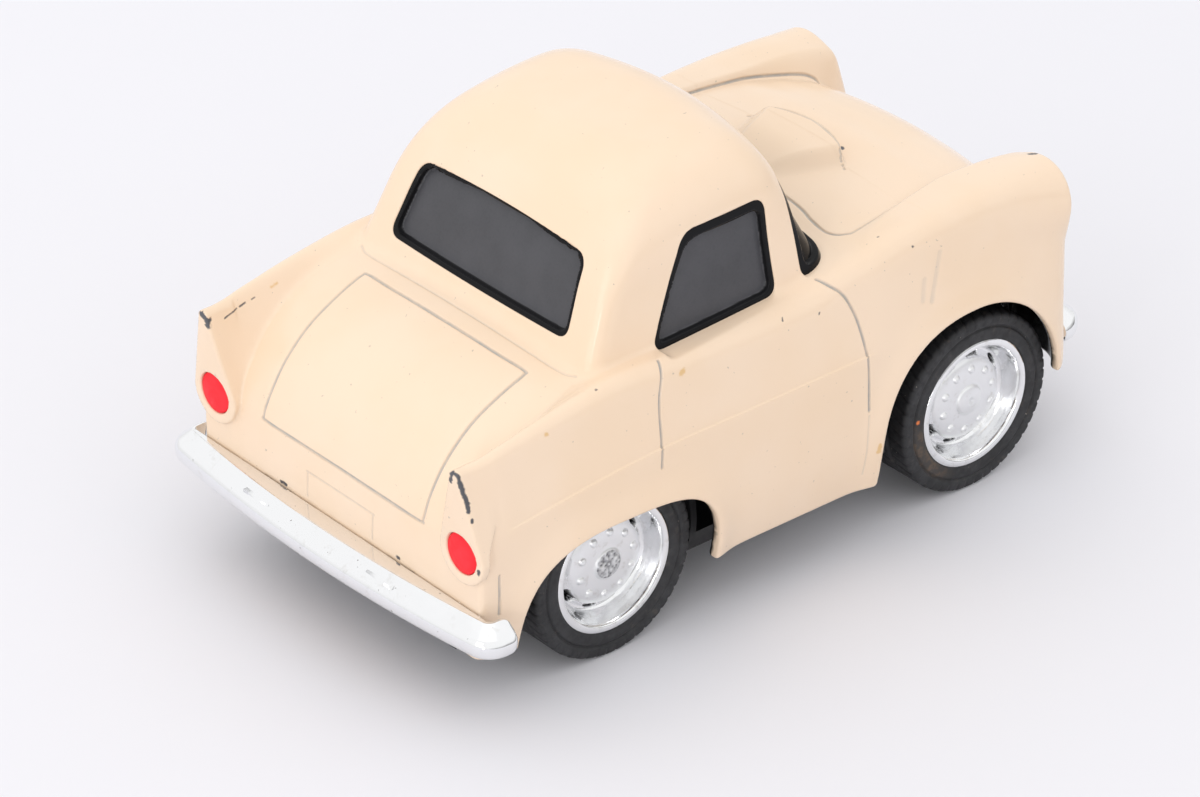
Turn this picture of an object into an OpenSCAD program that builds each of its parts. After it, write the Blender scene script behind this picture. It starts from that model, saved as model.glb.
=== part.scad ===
// Pull-back die-cast toy coupe: hollow zinc body, black base, chromed trim and a spring motor.
// +X points to the front of the car, +Y to its left side, +Z up.
// The origin is on the floor, under the middle of the car.

/* [Overall] */
// Length from bumper to bumper
car_length = 91.4; // [91:0.1:91.8]
// Distance between the axles
wheelbase = 50; // [49.5:0.1:50.5]
// Height of the axles above the floor, which is the tyre radius
axle_z = 10.3; // [10.2:0.05:10.4]

/* [Body] */
// Wall of the casting
wall = 1.4; // [1.2:0.1:1.5]
// Greatest half width of the body
body_half_w = 23.4; // [23.2:0.1:23.8]
// Height of the sill's lower edge
sill_z = 6.8; // [6.6:0.1:7]
// Height of the crease along the side
crease_z = 23; // [22.5:0.1:23.5]
// Height of the roof at its middle
roof_z = 49.6; // [49.4:0.1:50]

/* [Wheels] */
// Width of the tyre
tyre_w = 7.6; // [7.2:0.1:7.8]
// Outer face of the tyre, from the middle of the car
tyre_face_y = 21.2; // [21:0.1:21.4]
// Radius of the rim's lip
rim_r = 7.35; // [7.2:0.05:7.5]
// Radius of the axles
axle_r = 0.9; // [0.8:0.05:0.95]
// Bosses round the wheel disc
rim_bosses = 10; // [8:1:12]
// Cooling slots round the wheel disc
rim_slots = 8; // [6:1:10]

/* [Motor] */
// Module of the gears
gear_module = 0.5; // [0.5:0.01:0.51]
// Teeth on the axle pinion and on the idler's small pinion
pinion_teeth = 10; // [10:1:11]
// Teeth on the idler's large wheel
idler_teeth = 24; // [24:1:25]
// Teeth on the spring wheel
spring_teeth = 30; // [29:1:30]
// Turns of the mainspring
spring_turns = 5; // [4:1:6]

/* [Hidden] */
$fn = 48;

// Colours
ivory = "#f3dfc0";
smoke = "#2a2a2e";
chrome = "#d6d8dc";
black_plastic = "#1b1b1d";
rubber = "#26262a";
lamp_red = "#e8202c";
lamp_glass = "#e9edf0";
steel = "#a9adb2";
motor_grey = "#8d9398";
gear_white = "#e8e4d8";

// Stations along the car
nose_x = 41.4;
tail_x = -41.9;
axle_mid_x = 1.8;
front_axle_x = axle_mid_x + wheelbase / 2;
rear_axle_x = axle_mid_x - wheelbase / 2;
half_length = car_length / 2;

// Body curves: [station along the car, value]
side_w = [[tail_x, 22.2], [-41.2, 22.5], [-39, 22.7], [-35, 22.9], [-29, 23.2], [-14, body_half_w],
    [4, body_half_w], [26, 23.3], [35, 23], [39, 22.6], [nose_x, 21.4]];
crest_y = [[tail_x, 20.3], [-34, 20.6], [-23, 20.4], [-12, 20.2], [2, 19.5], [12, 18.7],
    [20, 18.4], [nose_x, 18]];
crest_z = [[tail_x, 28.8], [-37, 29.9], [-31, 31], [-23, 32.1], [-13, 32.2], [2, 32.5],
    [9, 33.8], [16, 34.9], [23, 35.3], [31, 35.2], [36, 34.6], [39, 33.4], [nose_x, 30]];
crest_flat = [[tail_x, 0.4], [-30, 0.8], [-14, 1.5], [6, 2.2], [14, 2.2], [26, 2.6], [nose_x, 3]];
valley_y = [[tail_x, 15], [-36, 16.2], [-27, 17], [-20, 17.2], [6, 16.2], [12, 15.4], [19, 14.8],
    [25, 14], [31, 13.4], [35, 12.7], [nose_x, 12.2]];
valley_z = [[tail_x, 15.8], [-41.2, 19.2], [-39.5, 22.6], [-37.5, 25.1], [-35, 27.2], [-32, 28.8],
    [-28.5, 30.2], [-25, 31], [-18, 31.4], [2, 32.2], [8, 33.6], [12, 34.2], [20, 34.5], [25, 34.4],
    [28, 33.9], [31, 33.3], [34, 32.3], [37, 30.1], [39, 27.9], [40.6, 24.4], [nose_x, 20]];
crown_z = [[tail_x, 0.2], [-38, 0.9], [-30, 1.3], [-20, 1.2], [8, 0.9], [nose_x, 0.9]];
lower_z = [[tail_x, 7], [-39.5, 6.3], [-36, 6.3], [-12, sill_z + 0.4], [12, sill_z + 0.4],
    [24, sill_z + 0.8], [34, 10.4], [nose_x, 11.4]];
stations = [tail_x, -41.6, -41, -40, -38.6, -36.5, -33.5, -29.5, -24.5, -18, -10, -2, 5, 10,
    15, 20, 25, 30, 34, 37, 39, 40.2, 41, nose_x];
hip_z = 14.5;
nose_bow = 2.1;
bow_from_x = 22;
bow_half_y = 21;

// Cross-section: how far the sill and the crease are drawn in, the crown's share at half
// width, and the reach of each corner's rounding, from the sill to the middle of the top
sill_tuck = 1;
crease_tuck = 0.6;
crown_share = 0.8;
outer_reach = [0, 6, 1.5, 3.6, 2.6, 2.2, 5, 0];
inner_reach = [0, 3, 1.5, 2, 1.5, 4, 0];
inner_foot_z = -1;
inner_hip_drop = 3;
inner_crease_drop = 1.5;
wing_fill = 1.2;
reach_limit = 0.48;
corner_steps = 3;

// Cabin curves: [height, value]
cabin_rear_x = [[29, -26.2], [33, -24.4], [38, -22.2], [43, -19.5], [46, -16.8], [48, -13.7], [49, -10],
    [roof_z, -6]];
cabin_front_x = [[29, 11.3], [33, 9.9], [40, 7.3], [44, 5.6], [46.6, 3.7], [48, 2], [49, 0], [roof_z, -3]];
cabin_half_y = [[29, 19.8], [33, 18.7], [38, 17.8], [43, 17.1], [45, 16.3], [46.6, 15.1], [48, 13.3],
    [49, 10], [roof_z, 4]];
cabin_levels = [29, 31, 33, 36, 39.5, 42, 44, 45.5, 46.7, 47.7, 48.5, 49.1, roof_z];
rear_squareness = [[29, 13], [38, 11], [44, 6], [47, 4], [roof_z, 2.6]];
front_squareness = [[29, 6], [38, 6], [44, 5], [47, 4.2], [roof_z, 3]];
cabin_points = 44;
cabin_least = 0.2;

// Window openings: corners across the car and up, or along the car and up
rear_window = [[-14, 33.7], [14, 33.7], [12.8, 41.5], [0, 42.5], [-12.8, 41.5]];
windscreen = [[4.1, 31], [14, 31], [14, 44.2], [3.1, 44.2]];
side_window = [[-16.5, 31.7], [0.1, 32.5], [-0.5, 43], [-11.2, 42.7]];
window_corner_r = 1.2;
rear_window_x = [-30, -14];
side_window_y = [12, 26];
pane_gap = 0.2;
pane_recess = 0.5;
glazing_wall = 1.2;
glazing_foot_z = 30.4;

// Lamps
tail_lamp = [tail_x - 0.15, 19.9, 19];
tail_boss_r = 2.9;
tail_boss_depth = 2.4;
fin_tip = [tail_x - 1.3, 19.75, 28.4];
fin_tip_r = 0.5;
fin_half_y = 22.6;
tail_lamp_r = 2.25;
tail_lamp_depth = 1;
pod = [38.3, 18.4, 30.6];
pod_r = 4.3;
pod_length = 9;
pod_tail_r = 3.1;
pod_tail_shift = [0.8, 0.6];
pod_face_t = 1.4;
pod_face_round = 0.4;
headlamp_r = 3.6;
headlamp_depth = 1.6;
lamp_gap = 0.03;
lamp_clear = 4;
headlamp_bulge = [1.2, 0.9];
tail_lamp_bulge = [0.8, 0.3];
lens_steps = 6;

// Hood scoop: its rear and front ends
scoop_x = [9, 20.6];
scoop_y = [3.4, 4.8];
scoop_z = 33;
scoop_rise = [1.5, 3.2];
scoop_corner_r = 1.2;

// Wheel arches: middle along the car, half length, height of the springing, rise above it,
// and how square the curve is behind and ahead of the middle
front_arch = [24.4, 13.3, 9.6, 14.2, 2.4, 2];
rear_arch = [-24, 12.8, 7, 10.4, 2.6, 3.4];
arch_y = [12, 30];
arch_foot_z = -5;
arch_steps = 24;

// Chassis
floor_t = 1.8;
floor_z = 4.8;
floor_top = floor_z + floor_t;
well_y = 11.6;
well_wall = 1;
liner_r = 11.6;
liner_t = 0.8;
liner_y = 19.6;
liner_foot_z = 8;
running_gap = 0.05;
post_r = 3;
post_x = [13.5, -35];
post_top = [34.4, 25];
post_taper = 0.3;
post_end_t = 1;
screw_r = 1.1;
screw_head_r = 2.2;
screw_head_t = 1.2;
screw_len = 9;
thread_gap = 0.05;
screw_gap = 0.15;
screw_cross = [2.6, 0.5, 1];

// Bumpers: half the straight-on width, height of the middle, radius of the wrapped corner
// and length of the return behind it
rear_bumper_at = [24, 11.25, 1.2, 2.5];
front_bumper_at = [16.6, 13.4, 2.6, 0.6];
bumper_half_h = 1.65;
bumper_half_t = 1.1;
bumper_wrap_angle = 80;
bumper_bow_r = 180;
bumper_squareness = 3;
bumper_sides = 16;
ledge_z = [9.4, 13.1];
ledge_half_y = 22;
ledge_step = 4;
ledge_bite = 0.8;
ledge_gap = 0.2;
bumper_tab_y = 10;
bumper_tab = [6, 4, 2];
tab_gap = 0.2;
tab_slot_len = 8;

// Grille opening in the nose
grille_y = 8;
grille_z = 18;
grille_r = 3.4;
grille_cut_x = [34, 46];

// Motor
motor_y = 8;
motor_wall = 1.2;
motor_bottom_wall = 0.6;
motor_top = 25.4;
pin_r = 0.8;
press_gap = 0.01;
idler_rise = 4.2;
arbor_rise = 5.6;
arbor_r = 1.6;
axle_mesh_y = [2, 4.6];
arbor_mesh_y = [-1.4, 1];
spring_y = [-6.2, -2];
spring_t = 0.3;
spring_steps = 32;
spring_inner_r = 2.1;
spring_outer_r = 6.8;
pressure_angle = 25;
addendum = 0.8 * gear_module;
dedendum = 1.05 * gear_module;
backlash = 0.12;
pinion_r = pinion_teeth * gear_module / 2;
idler_r = idler_teeth * gear_module / 2;
spring_r = spring_teeth * gear_module / 2;
axle_to_idler = pinion_r + idler_r;
idler_to_arbor = pinion_r + spring_r;
idler_pos = [rear_axle_x + sqrt(pow(axle_to_idler, 2) - pow(idler_rise, 2)), axle_z + idler_rise];
arbor_pos = [idler_pos[0] + sqrt(pow(idler_to_arbor, 2) - pow(arbor_rise - idler_rise, 2)),
    axle_z + arbor_rise];
motor_room = [5, 2];
motor_rear_x = rear_axle_x - motor_room[0];
motor_front_x = arbor_pos[0] + spring_r + motor_room[1];

// Smooth curve through [station, value] keys: a cubic between neighbours
function key_before(keys, x, i = 0) =
    i >= len(keys) - 2 || x < keys[i + 1][0] ? i : key_before(keys, x, i + 1);
function key_slope(keys, i) =
    let (a = keys[max(i - 1, 0)], b = keys[min(i + 1, len(keys) - 1)]) (b[1] - a[1]) / (b[0] - a[0]);
function curve(keys, x) =
    let (i = key_before(keys, x), a = keys[i], b = keys[i + 1], d = b[0] - a[0],
        t = max(0, min(1, (x - a[0]) / d)))
    a[1] * (1 + 2 * t) * pow(1 - t, 2) + b[1] * t * t * (3 - 2 * t)
    + d * t * (1 - t) * ((1 - t) * key_slope(keys, i) - t * key_slope(keys, i + 1));

// Corner q, rounded over the given reach along both its edges
function rounded(p, q, s, reach) =
    let (u = p - q, w = s - q,
        a = q + u * min(reach_limit, reach / norm(u)), b = q + w * min(reach_limit, reach / norm(w)))
    [for (k = [0:corner_steps]) let (t = k / corner_steps)
        a * pow(1 - t, 2) + q * 2 * t * (1 - t) + b * t * t];
function rounded_path(points, reaches) = [
    points[0],
    for (i = [1:len(points) - 2]) each rounded(points[i - 1], points[i], points[i + 1], reaches[i]),
    points[len(points) - 1]
];

// Half of the body's cross-section at a station, from the sill to the middle of the top
function outer_half(x) =
    let (w = curve(side_w, x), cy = curve(crest_y, x), cz = curve(crest_z, x), cf = curve(crest_flat, x),
        vy = curve(valley_y, x), vz = curve(valley_z, x), crown = curve(crown_z, x))
    rounded_path([
        [w - sill_tuck, curve(lower_z, x)], [w, hip_z], [w - crease_tuck, crease_z], [cy + cf, cz],
        [cy - cf, cz], [vy, vz], [vy / 2, vz + crown * crown_share], [0, vz + crown]
    ], outer_reach);
function inner_half(x) =
    let (w = curve(side_w, x) - wall, cy = curve(crest_y, x), vy = curve(valley_y, x),
        vz = curve(valley_z, x) - wall, crown = curve(crown_z, x),
        top = min(curve(crest_z, x) - 2 * wall, vz + wing_fill))
    rounded_path([
        [w - sill_tuck, inner_foot_z], [w, min(hip_z, vz - inner_hip_drop)],
        [w - crease_tuck, min(crease_z, vz - inner_crease_drop)],
        [cy - crease_tuck, top], [vy, vz], [vy / 2, vz + crown * crown_share], [0, vz + crown]
    ], inner_reach);
function whole(half) = [
    for (p = half) p,
    for (i = [len(half) - 2:-1:0]) [-half[i][0], half[i][1]]
];
function bow(x, y) =
    let (t = max(0, min(1, (x - bow_from_x) / (nose_x - bow_from_x))))
    nose_bow * t * t * (3 - 2 * t) * pow(y / bow_half_y, 2);

// Skin over a row of rings with equal numbers of points, closed at both ends
module loft(rings) {
    n = len(rings[0]);
    m = len(rings);
    polyhedron(
        points = [for (ring = rings) each ring],
        faces = [
            [for (i = [0:n - 1]) i],
            [for (i = [n - 1:-1:0]) (m - 1) * n + i],
            for (j = [0:m - 2], i = [0:n - 1]) let (k = (i + 1) % n)
                each [
                    [j * n + i, (j + 1) * n + i, (j + 1) * n + k],
                    [j * n + i, (j + 1) * n + k, j * n + k]
                ]
        ],
        convexity = 8
    );
}

module lower_outer()
    loft([for (x = stations) [for (p = whole(outer_half(x))) [x - bow(x, p[0]), p[0], p[1]]]]);

module lower_inner() {
    shrink = 1 - wall / nose_x;
    loft([for (x = stations) [for (p = whole(inner_half(x)))
        [shrink * x - bow(x, p[0]), p[0], p[1]]]]);
}

// Cabin: rings at rising levels, each a rounded rectangle, drawn in by an inset.
// Its rear corners are squarer than its front ones.
function signed_power(v, e) = sign(v) * pow(abs(v), e);
function cabin_ring(z, inset) =
    let (r = curve(cabin_rear_x, z) + inset, f = curve(cabin_front_x, z) - inset,
        h = curve(cabin_half_y, z) - inset)
    [for (i = [0:cabin_points - 1])
        let (a = 360 * i / cabin_points, e = 2 / curve(cos(a) > 0 ? front_squareness : rear_squareness, z))
        [(r + f) / 2 + max(cabin_least, (f - r) / 2) * signed_power(cos(a), e),
            max(cabin_least, h) * signed_power(sin(a), e), z - inset]];

module cabin(inset = 0)
    loft([for (z = cabin_levels) cabin_ring(z, inset)]);

// An opening with round corners, drawn in the plane of its first two axes
module rounded_outline(corners, grow, depth)
    hull() for (c = corners)
        translate([c[0], c[1], 0]) cylinder(r = window_corner_r + grow, h = depth, $fn = 32);

function drawn_in(corners, by) =
    let (mid = [for (c = corners) 1] * corners / len(corners))
    [for (c = corners) c - [sign(c[0] - mid[0]) * by, sign(c[1] - mid[1]) * by]];

module rear_window_prism(grow)
    translate([rear_window_x[0], 0, 0]) rotate([90, 0, 90])
        rounded_outline(drawn_in(rear_window, window_corner_r), grow,
            rear_window_x[1] - rear_window_x[0]);

module windscreen_prism(grow)
    translate([0, side_window_y[1], 0]) rotate([90, 0, 0])
        rounded_outline(drawn_in(windscreen, window_corner_r), grow, 2 * side_window_y[1]);

module side_window_prisms(grow)
    for (side = [-1, 1])
        translate([0, side > 0 ? side_window_y[1] : -side_window_y[0], 0]) rotate([90, 0, 0])
            rounded_outline(drawn_in(side_window, window_corner_r), grow,
                side_window_y[1] - side_window_y[0]);

// The windows end at the deck, or as far above it as they are drawn in
module all_windows(grow) difference() {
    union() {
        rear_window_prism(grow);
        windscreen_prism(grow);
        side_window_prisms(grow);
    }
    translate([0, 0, -grow]) lower_outer();
}

// Wheel-arch cutter: a squared-off arch, closed far below the sill
module arch_cutter(arch)
    for (side = [-1, 1])
        translate([0, side > 0 ? arch_y[1] : -arch_y[0], 0]) rotate([90, 0, 0])
            linear_extrude(arch_y[1] - arch_y[0]) polygon([
                for (i = [0:arch_steps]) let (a = 180 * i / arch_steps, e = 2 / arch[cos(a) > 0 ? 5 : 4])
                    [arch[0] + arch[1] * signed_power(cos(a), e), arch[2] + arch[3] * pow(sin(a), e)],
                [arch[0] - arch[1], arch_foot_z], [arch[0] + arch[1], arch_foot_z]
            ]);

// Headlamp pod on the front of a wing
module headlamp_pod(side)
    hull() {
        translate([pod[0] - pod_length, side * (pod[1] - pod_tail_shift[0]), pod[2] + pod_tail_shift[1]])
            sphere(r = pod_tail_r, $fn = 32);
        for (step = [0, pod_face_round])
            translate([pod[0] - pod_face_t, side * pod[1], pod[2]]) rotate([0, 90, 0])
                cylinder(r = pod_r - step, h = pod_face_t - pod_face_round + step, $fn = 32);
    }

// Teardrop end of a fin, raked back, which carries the tail lamp
module fin_end(side) intersection() {
    hull() {
        translate([tail_lamp[0], side * tail_lamp[1], tail_lamp[2]]) rotate([0, 90, 0])
            cylinder(r = tail_boss_r, h = tail_boss_depth, $fn = 32);
        translate([fin_tip[0], side * fin_tip[1], fin_tip[2]]) rotate([0, 90, 0])
            cylinder(r = fin_tip_r, h = tail_boss_depth, $fn = 16);
    }
    cube([car_length, 2 * fin_half_y, car_length], center = true);
}

// Scoop on the hood, from its low rear end to its raised mouth
module hood_scoop()
    hull() for (i = [0, 1], side = [-1, 1])
        translate([scoop_x[i], side * scoop_y[i], scoop_z])
            cylinder(r = scoop_corner_r, h = scoop_rise[i], $fn = 32);

module fixing_post(i)
    hull() {
        translate([post_x[i], 0, floor_top]) cylinder(r = post_r - post_taper, h = post_end_t, $fn = 32);
        translate([post_x[i], 0, post_top[i] - post_end_t]) cylinder(r = post_r, h = post_end_t, $fn = 32);
    }

module grille_opening()
    hull() for (y = [-grille_y, grille_y])
        translate([grille_cut_x[0], y, grille_z]) rotate([0, 90, 0])
            cylinder(r = grille_r, h = grille_cut_x[1] - grille_cut_x[0], $fn = 32);

// Ledge of the casting that the rear bumper sits against, bowed like it
module bumper_ledge()
    translate([0, 0, ledge_z[0]]) linear_extrude(ledge_z[1] - ledge_z[0])
        polygon([
            [tail_x + ledge_bite, -ledge_half_y], [tail_x + ledge_bite, ledge_half_y],
            for (y = [ledge_half_y:-ledge_step:-ledge_half_y])
                [2 * bumper_half_t + ledge_gap - half_length + y * y / 2 / bumper_bow_r, y]
        ]);

module bumper_slots(x, z)
    for (side = [-1, 1])
        translate([x, side * bumper_tab_y, z])
            cube([tab_slot_len, bumper_tab[1] + tab_gap, bumper_tab[2] + tab_gap], center = true);

module body_shell() color(ivory) difference() {
    union() {
        difference() {
            union() {
                lower_outer();
                cabin();
                hood_scoop();
                bumper_ledge();
                for (side = [-1, 1]) {
                    headlamp_pod(side);
                    fin_end(side);
                }
            }
            lower_inner();
            cabin(inset = wall);
            all_windows(0);
            arch_cutter(front_arch);
            arch_cutter(rear_arch);
            grille_opening();
        }
        for (i = [0, 1]) fixing_post(i);
    }
    for (i = [0, 1])
        translate([post_x[i], 0, 0])
            cylinder(r = screw_r + thread_gap, h = floor_z + screw_len + screw_gap, $fn = 32);
    bumper_slots(tail_x, rear_bumper_at[1]);
    bumper_slots(nose_x - 1, front_bumper_at[1]);
    for (side = [-1, 1]) {
        translate([tail_lamp[0] - lamp_clear, side * tail_lamp[1], tail_lamp[2]]) rotate([0, 90, 0])
            cylinder(r = tail_lamp_r + lamp_gap, h = lamp_clear + tail_lamp_depth, $fn = 32);
        translate([pod[0] - headlamp_depth, side * pod[1], pod[2]]) rotate([0, 90, 0])
            cylinder(r = headlamp_r + lamp_gap, h = headlamp_depth + lamp_clear, $fn = 32);
    }
}

// Opaque glazing, one moulding that fills all the windows from inside
module window_insert() color(smoke) difference() {
    union() {
        cabin(inset = wall + pane_gap / 2);
        intersection() {
            cabin(inset = pane_recess);
            all_windows(-pane_gap);
        }
    }
    cabin(inset = wall + glazing_wall);
    translate([-car_length / 2, -car_length / 2, 0]) cube([car_length, car_length, glazing_foot_z]);
}

// Solids that lie along the axles: from y0 to y1 at a place along the car and up
module along_y(x, z, y0, y1)
    translate([x, y1, z]) rotate([90, 0, 0]) linear_extrude(y1 - y0) children();

module y_cylinder(x, z, y0, y1, r)
    translate([x, y1, z]) rotate([90, 0, 0]) cylinder(r = r, h = y1 - y0);

module x_cylinder(at, r, h)
    translate(at) rotate([0, 90, 0]) cylinder(r = r, h = h);

// Base plate with wheel wells, which carry the axles
floor_x = [-39.6, 37.4];
floor_rear_y = 16;
floor_mid_y = 17;
floor_half = [
    [floor_x[0], 0], [floor_x[0], floor_rear_y], [rear_axle_x - liner_r, floor_rear_y],
    [rear_axle_x - liner_r, well_y], [rear_axle_x + liner_r, well_y], [rear_axle_x + liner_r, floor_mid_y],
    [front_axle_x - liner_r, floor_mid_y], [front_axle_x - liner_r, well_y],
    [floor_x[1], well_y], [floor_x[1], 0]
];
well_top = [20, 23];
liner_reach = [20, 8];
stop_t = 1;
stop_h = 2;
stop_gap = 0.1;

module floor_plate()
    translate([0, 0, floor_z]) linear_extrude(floor_t)
        polygon([
            for (p = floor_half) p,
            for (i = [len(floor_half) - 2:-1:1]) [floor_half[i][0], -floor_half[i][1]]
        ]);

// Inner wall and liner of a well: top is its height, reach how far its liner runs to the front
module wheel_well(x, side, top, reach) {
    y_in = side > 0 ? well_y - well_wall : -well_y;
    y_out = side > 0 ? well_y : -liner_y;
    translate([x - liner_r, y_in, floor_top]) cube([2 * liner_r - well_wall, well_wall, top - floor_top]);
    intersection() {
        difference() {
            y_cylinder(x, axle_z, y_out, y_out + liner_y - well_y, liner_r + liner_t);
            y_cylinder(x, axle_z, y_out - 1, y_out + liner_y - well_y + 1, liner_r);
        }
        translate([x - 2 * liner_r, -body_half_w, liner_foot_z])
            cube([2 * liner_r + reach, 2 * body_half_w, top - liner_foot_z]);
    }
}

module chassis() color(black_plastic) difference() {
    union() {
        floor_plate();
        for (side = [-1, 1]) {
            wheel_well(rear_axle_x, side, well_top[0], liner_reach[0]);
            wheel_well(front_axle_x, side, well_top[1], liner_reach[1]);
        }
        for (x = [motor_rear_x - stop_gap - stop_t, motor_front_x + stop_gap])
            translate([x, -motor_y, floor_top]) cube([stop_t, 2 * motor_y, stop_h]);
    }
    for (x = [front_axle_x, rear_axle_x])
        y_cylinder(x, axle_z, -liner_y, liner_y, axle_r + running_gap);
    for (x = post_x) {
        translate([x, 0, 0]) cylinder(r = screw_r + screw_gap, h = floor_top + floor_t);
        translate([x, 0, 0]) cylinder(r = screw_head_r + screw_gap, h = floor_z + screw_head_t);
    }
}

module chassis_screws() color(steel)
    for (x = post_x) difference() {
        union() {
            translate([x, 0, floor_z]) cylinder(r = screw_head_r, h = screw_head_t);
            translate([x, 0, floor_z]) cylinder(r = screw_r, h = screw_len);
        }
        for (turn = [0, 90]) translate([x, 0, floor_z]) rotate(turn)
            cube(screw_cross, center = true);
    }

// Bumper: a bowed bar with ends that wrap round the corners, and two fixing tabs.
// Its middle line is followed by angle, first round the bow and then round the wrap.
bumper_mid_x = half_length - bumper_half_t;
wrap_steps = 7;
bow_steps = 5;
end_place = [0.6, 0.85, 1];
end_taper = [1, 0.93, 0.7];

function bumper_point(at, turn) =
    let (on_bow = min(turn, asin(at[0] / bumper_bow_r)), wrap_r = at[2])
    [bumper_mid_x - bumper_bow_r + (bumper_bow_r - wrap_r) * cos(on_bow) + wrap_r * cos(turn),
        (bumper_bow_r - wrap_r) * sin(on_bow) + wrap_r * sin(turn), turn];
function bumper_turns(at) =
    let (bow_angle = asin(at[0] / bumper_bow_r))
    [for (i = [0:bow_steps]) bow_angle * i / bow_steps,
        for (i = [1:wrap_steps]) bow_angle + bumper_wrap_angle * i / wrap_steps];
function bumper_ring(at, side, scale) = [for (i = [bumper_sides - 1:-1:0])
    let (a = 360 * (i + 0.5) / bumper_sides, e = 2 / bumper_squareness,
        out = scale * bumper_half_t * signed_power(cos(a), e))
    [at[0] + out * cos(at[2]), side * (at[1] + out * sin(at[2])),
        scale * bumper_half_h * signed_power(sin(a), e)]];

function returned(at, by) = [at[0] - by * sin(at[2]), at[1] + by * cos(at[2]), at[2]];
function bumper_half_rings(at, side) =
    let (turns = bumper_turns(at), end = bumper_point(at, turns[len(turns) - 1]))
    [
        for (turn = turns) bumper_ring(bumper_point(at, turn), side, 1),
        for (i = [0:2]) bumper_ring(returned(end, at[3] * end_place[i]), side, end_taper[i])
    ];

module bumper(at) {
    left = bumper_half_rings(at, 1);
    right = bumper_half_rings(at, -1);
    loft([for (i = [len(right) - 1:-1:1]) right[i], each left]);
    for (side = [-1, 1])
        translate([bumper_mid_x - bumper_tab[0] / 2, side * bumper_tab_y, 0])
            cube(bumper_tab, center = true);
}

module front_bumper() color(chrome)
    translate([0, 0, front_bumper_at[1]]) bumper(front_bumper_at);
module rear_bumper() color(chrome)
    translate([0, 0, rear_bumper_at[1]]) rotate(180) bumper(rear_bumper_at);

// Grille plug in the nose, with ribs
grille_x = 38.6;
grille_t = 1.4;
grille_groove = [0.5, 0.7];
grille_pitch = 1.3;
grille_groove_end = 1.5;
module grille_outline(gap)
    union() {
        for (y = [-grille_y, grille_y]) translate([y, 0]) circle(r = grille_r - gap);
        square([2 * grille_y, 2 * (grille_r - gap)], center = true);
    }

module grille() color(chrome) difference() {
    translate([grille_x, 0, grille_z]) rotate([90, 0, 90])
        linear_extrude(grille_t) grille_outline(lamp_gap);
    for (i = [-2:2]) translate([grille_x + grille_t, 0, grille_z + grille_pitch * i])
        cube([2 * grille_groove[0], 2 * (grille_y + grille_groove_end), grille_groove[1]], center = true);
}

// Lamps: lens of a given radius, with its edge's depth and its bulge, that looks along +X
module lens(r, bulge)
    rotate([0, 90, 0]) rotate_extrude()
        polygon([
            [0, 0], [r, 0],
            for (i = [0:lens_steps]) let (a = 90 * i / lens_steps)
                [r * cos(a), bulge[0] + bulge[1] * sin(a)]
        ]);

module headlamp(side) color(lamp_glass)
    translate([pod[0] - headlamp_depth, side * pod[1], pod[2]])
        lens(headlamp_r, headlamp_bulge);
module headlamp_left() headlamp(1);
module headlamp_right() headlamp(-1);

module tail_lamp_disc(side) color(lamp_red)
    translate([tail_lamp[0] + tail_lamp_depth, side * tail_lamp[1], tail_lamp[2]]) rotate(180)
        lens(tail_lamp_r, tail_lamp_bulge);
module tail_lamp_left() tail_lamp_disc(1);
module tail_lamp_right() tail_lamp_disc(-1);

// Axles
axle_end_depth = 2.2;
axle_end_y = tyre_face_y - axle_end_depth;
module front_axle() color(steel) y_cylinder(front_axle_x, axle_z, -axle_end_y, axle_end_y, axle_r);
module rear_axle() color(steel) y_cylinder(rear_axle_x, axle_z, -axle_end_y, axle_end_y, axle_r);

// Wheel and tyre profiles: [radius, depth behind the outer face]
seat_r = rim_r - 0.5;
lip_t = 0.6;
barrel_t = 0.6;
barrel_end = tyre_w - 0.4;
hub_r = 2.2;
hub_end = tyre_w - 1;
hub_bore_r = axle_r + press_gap;
hub_bore_end = 2.1;
rim_profile = [
    [0, 0.8], [1.6, 0.8], [1.7, 0.95], [3, 1.1], [4.2, 1.4], [5, 1.75], [5.3, 2.05], [5.8, 2.05],
    [rim_r - 0.7, 0.4], [rim_r - 0.4, 0], [rim_r, 0], [rim_r, lip_t], [seat_r, lip_t],
    [seat_r, barrel_end], [seat_r - barrel_t, barrel_end], [seat_r - barrel_t, 3.4],
    [hub_r, 3.2], [hub_r, hub_end], [hub_bore_r, hub_end], [hub_bore_r, hub_bore_end], [0, hub_bore_end]
];
tyre_seat_r = seat_r + 0.02;
tyre_lip_r = rim_r + 0.04;
tyre_lip_end = lip_t + 0.04;
groove_r = axle_z - 0.4;
groove_w = 0.6;
groove_flank = 0.1;
groove_at = 2.4;
function tread_groove(from, step) = [
    [axle_z, from], [groove_r, from + step * groove_flank],
    [groove_r, from + step * (groove_w - groove_flank)], [axle_z, from + step * groove_w]
];
tyre_profile = [
    [tyre_lip_r, 0.12], [tyre_lip_r, tyre_lip_end], [tyre_seat_r, tyre_lip_end],
    [tyre_seat_r, tyre_w - 0.6], [rim_r + 0.3, tyre_w], [axle_z - 0.5, tyre_w],
    [axle_z - 0.1, tyre_w - 0.25], [axle_z, tyre_w - 0.6],
    each tread_groove(tyre_w - groove_at, -1),
    each tread_groove(groove_at + groove_w, -1),
    [axle_z, 0.6], [axle_z - 0.1, 0.25], [axle_z - 0.5, 0], [axle_z - 1.4, 0], [axle_z - 1.55, 0.15],
    [axle_z - 1.7, 0], [rim_r + 0.25, 0]
];
boss_ring = [3.55, -1.3];
boss_r = 0.42;
slot_ring = [5.25, -2];
slot = [0.75, 1.7, 4];

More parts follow.
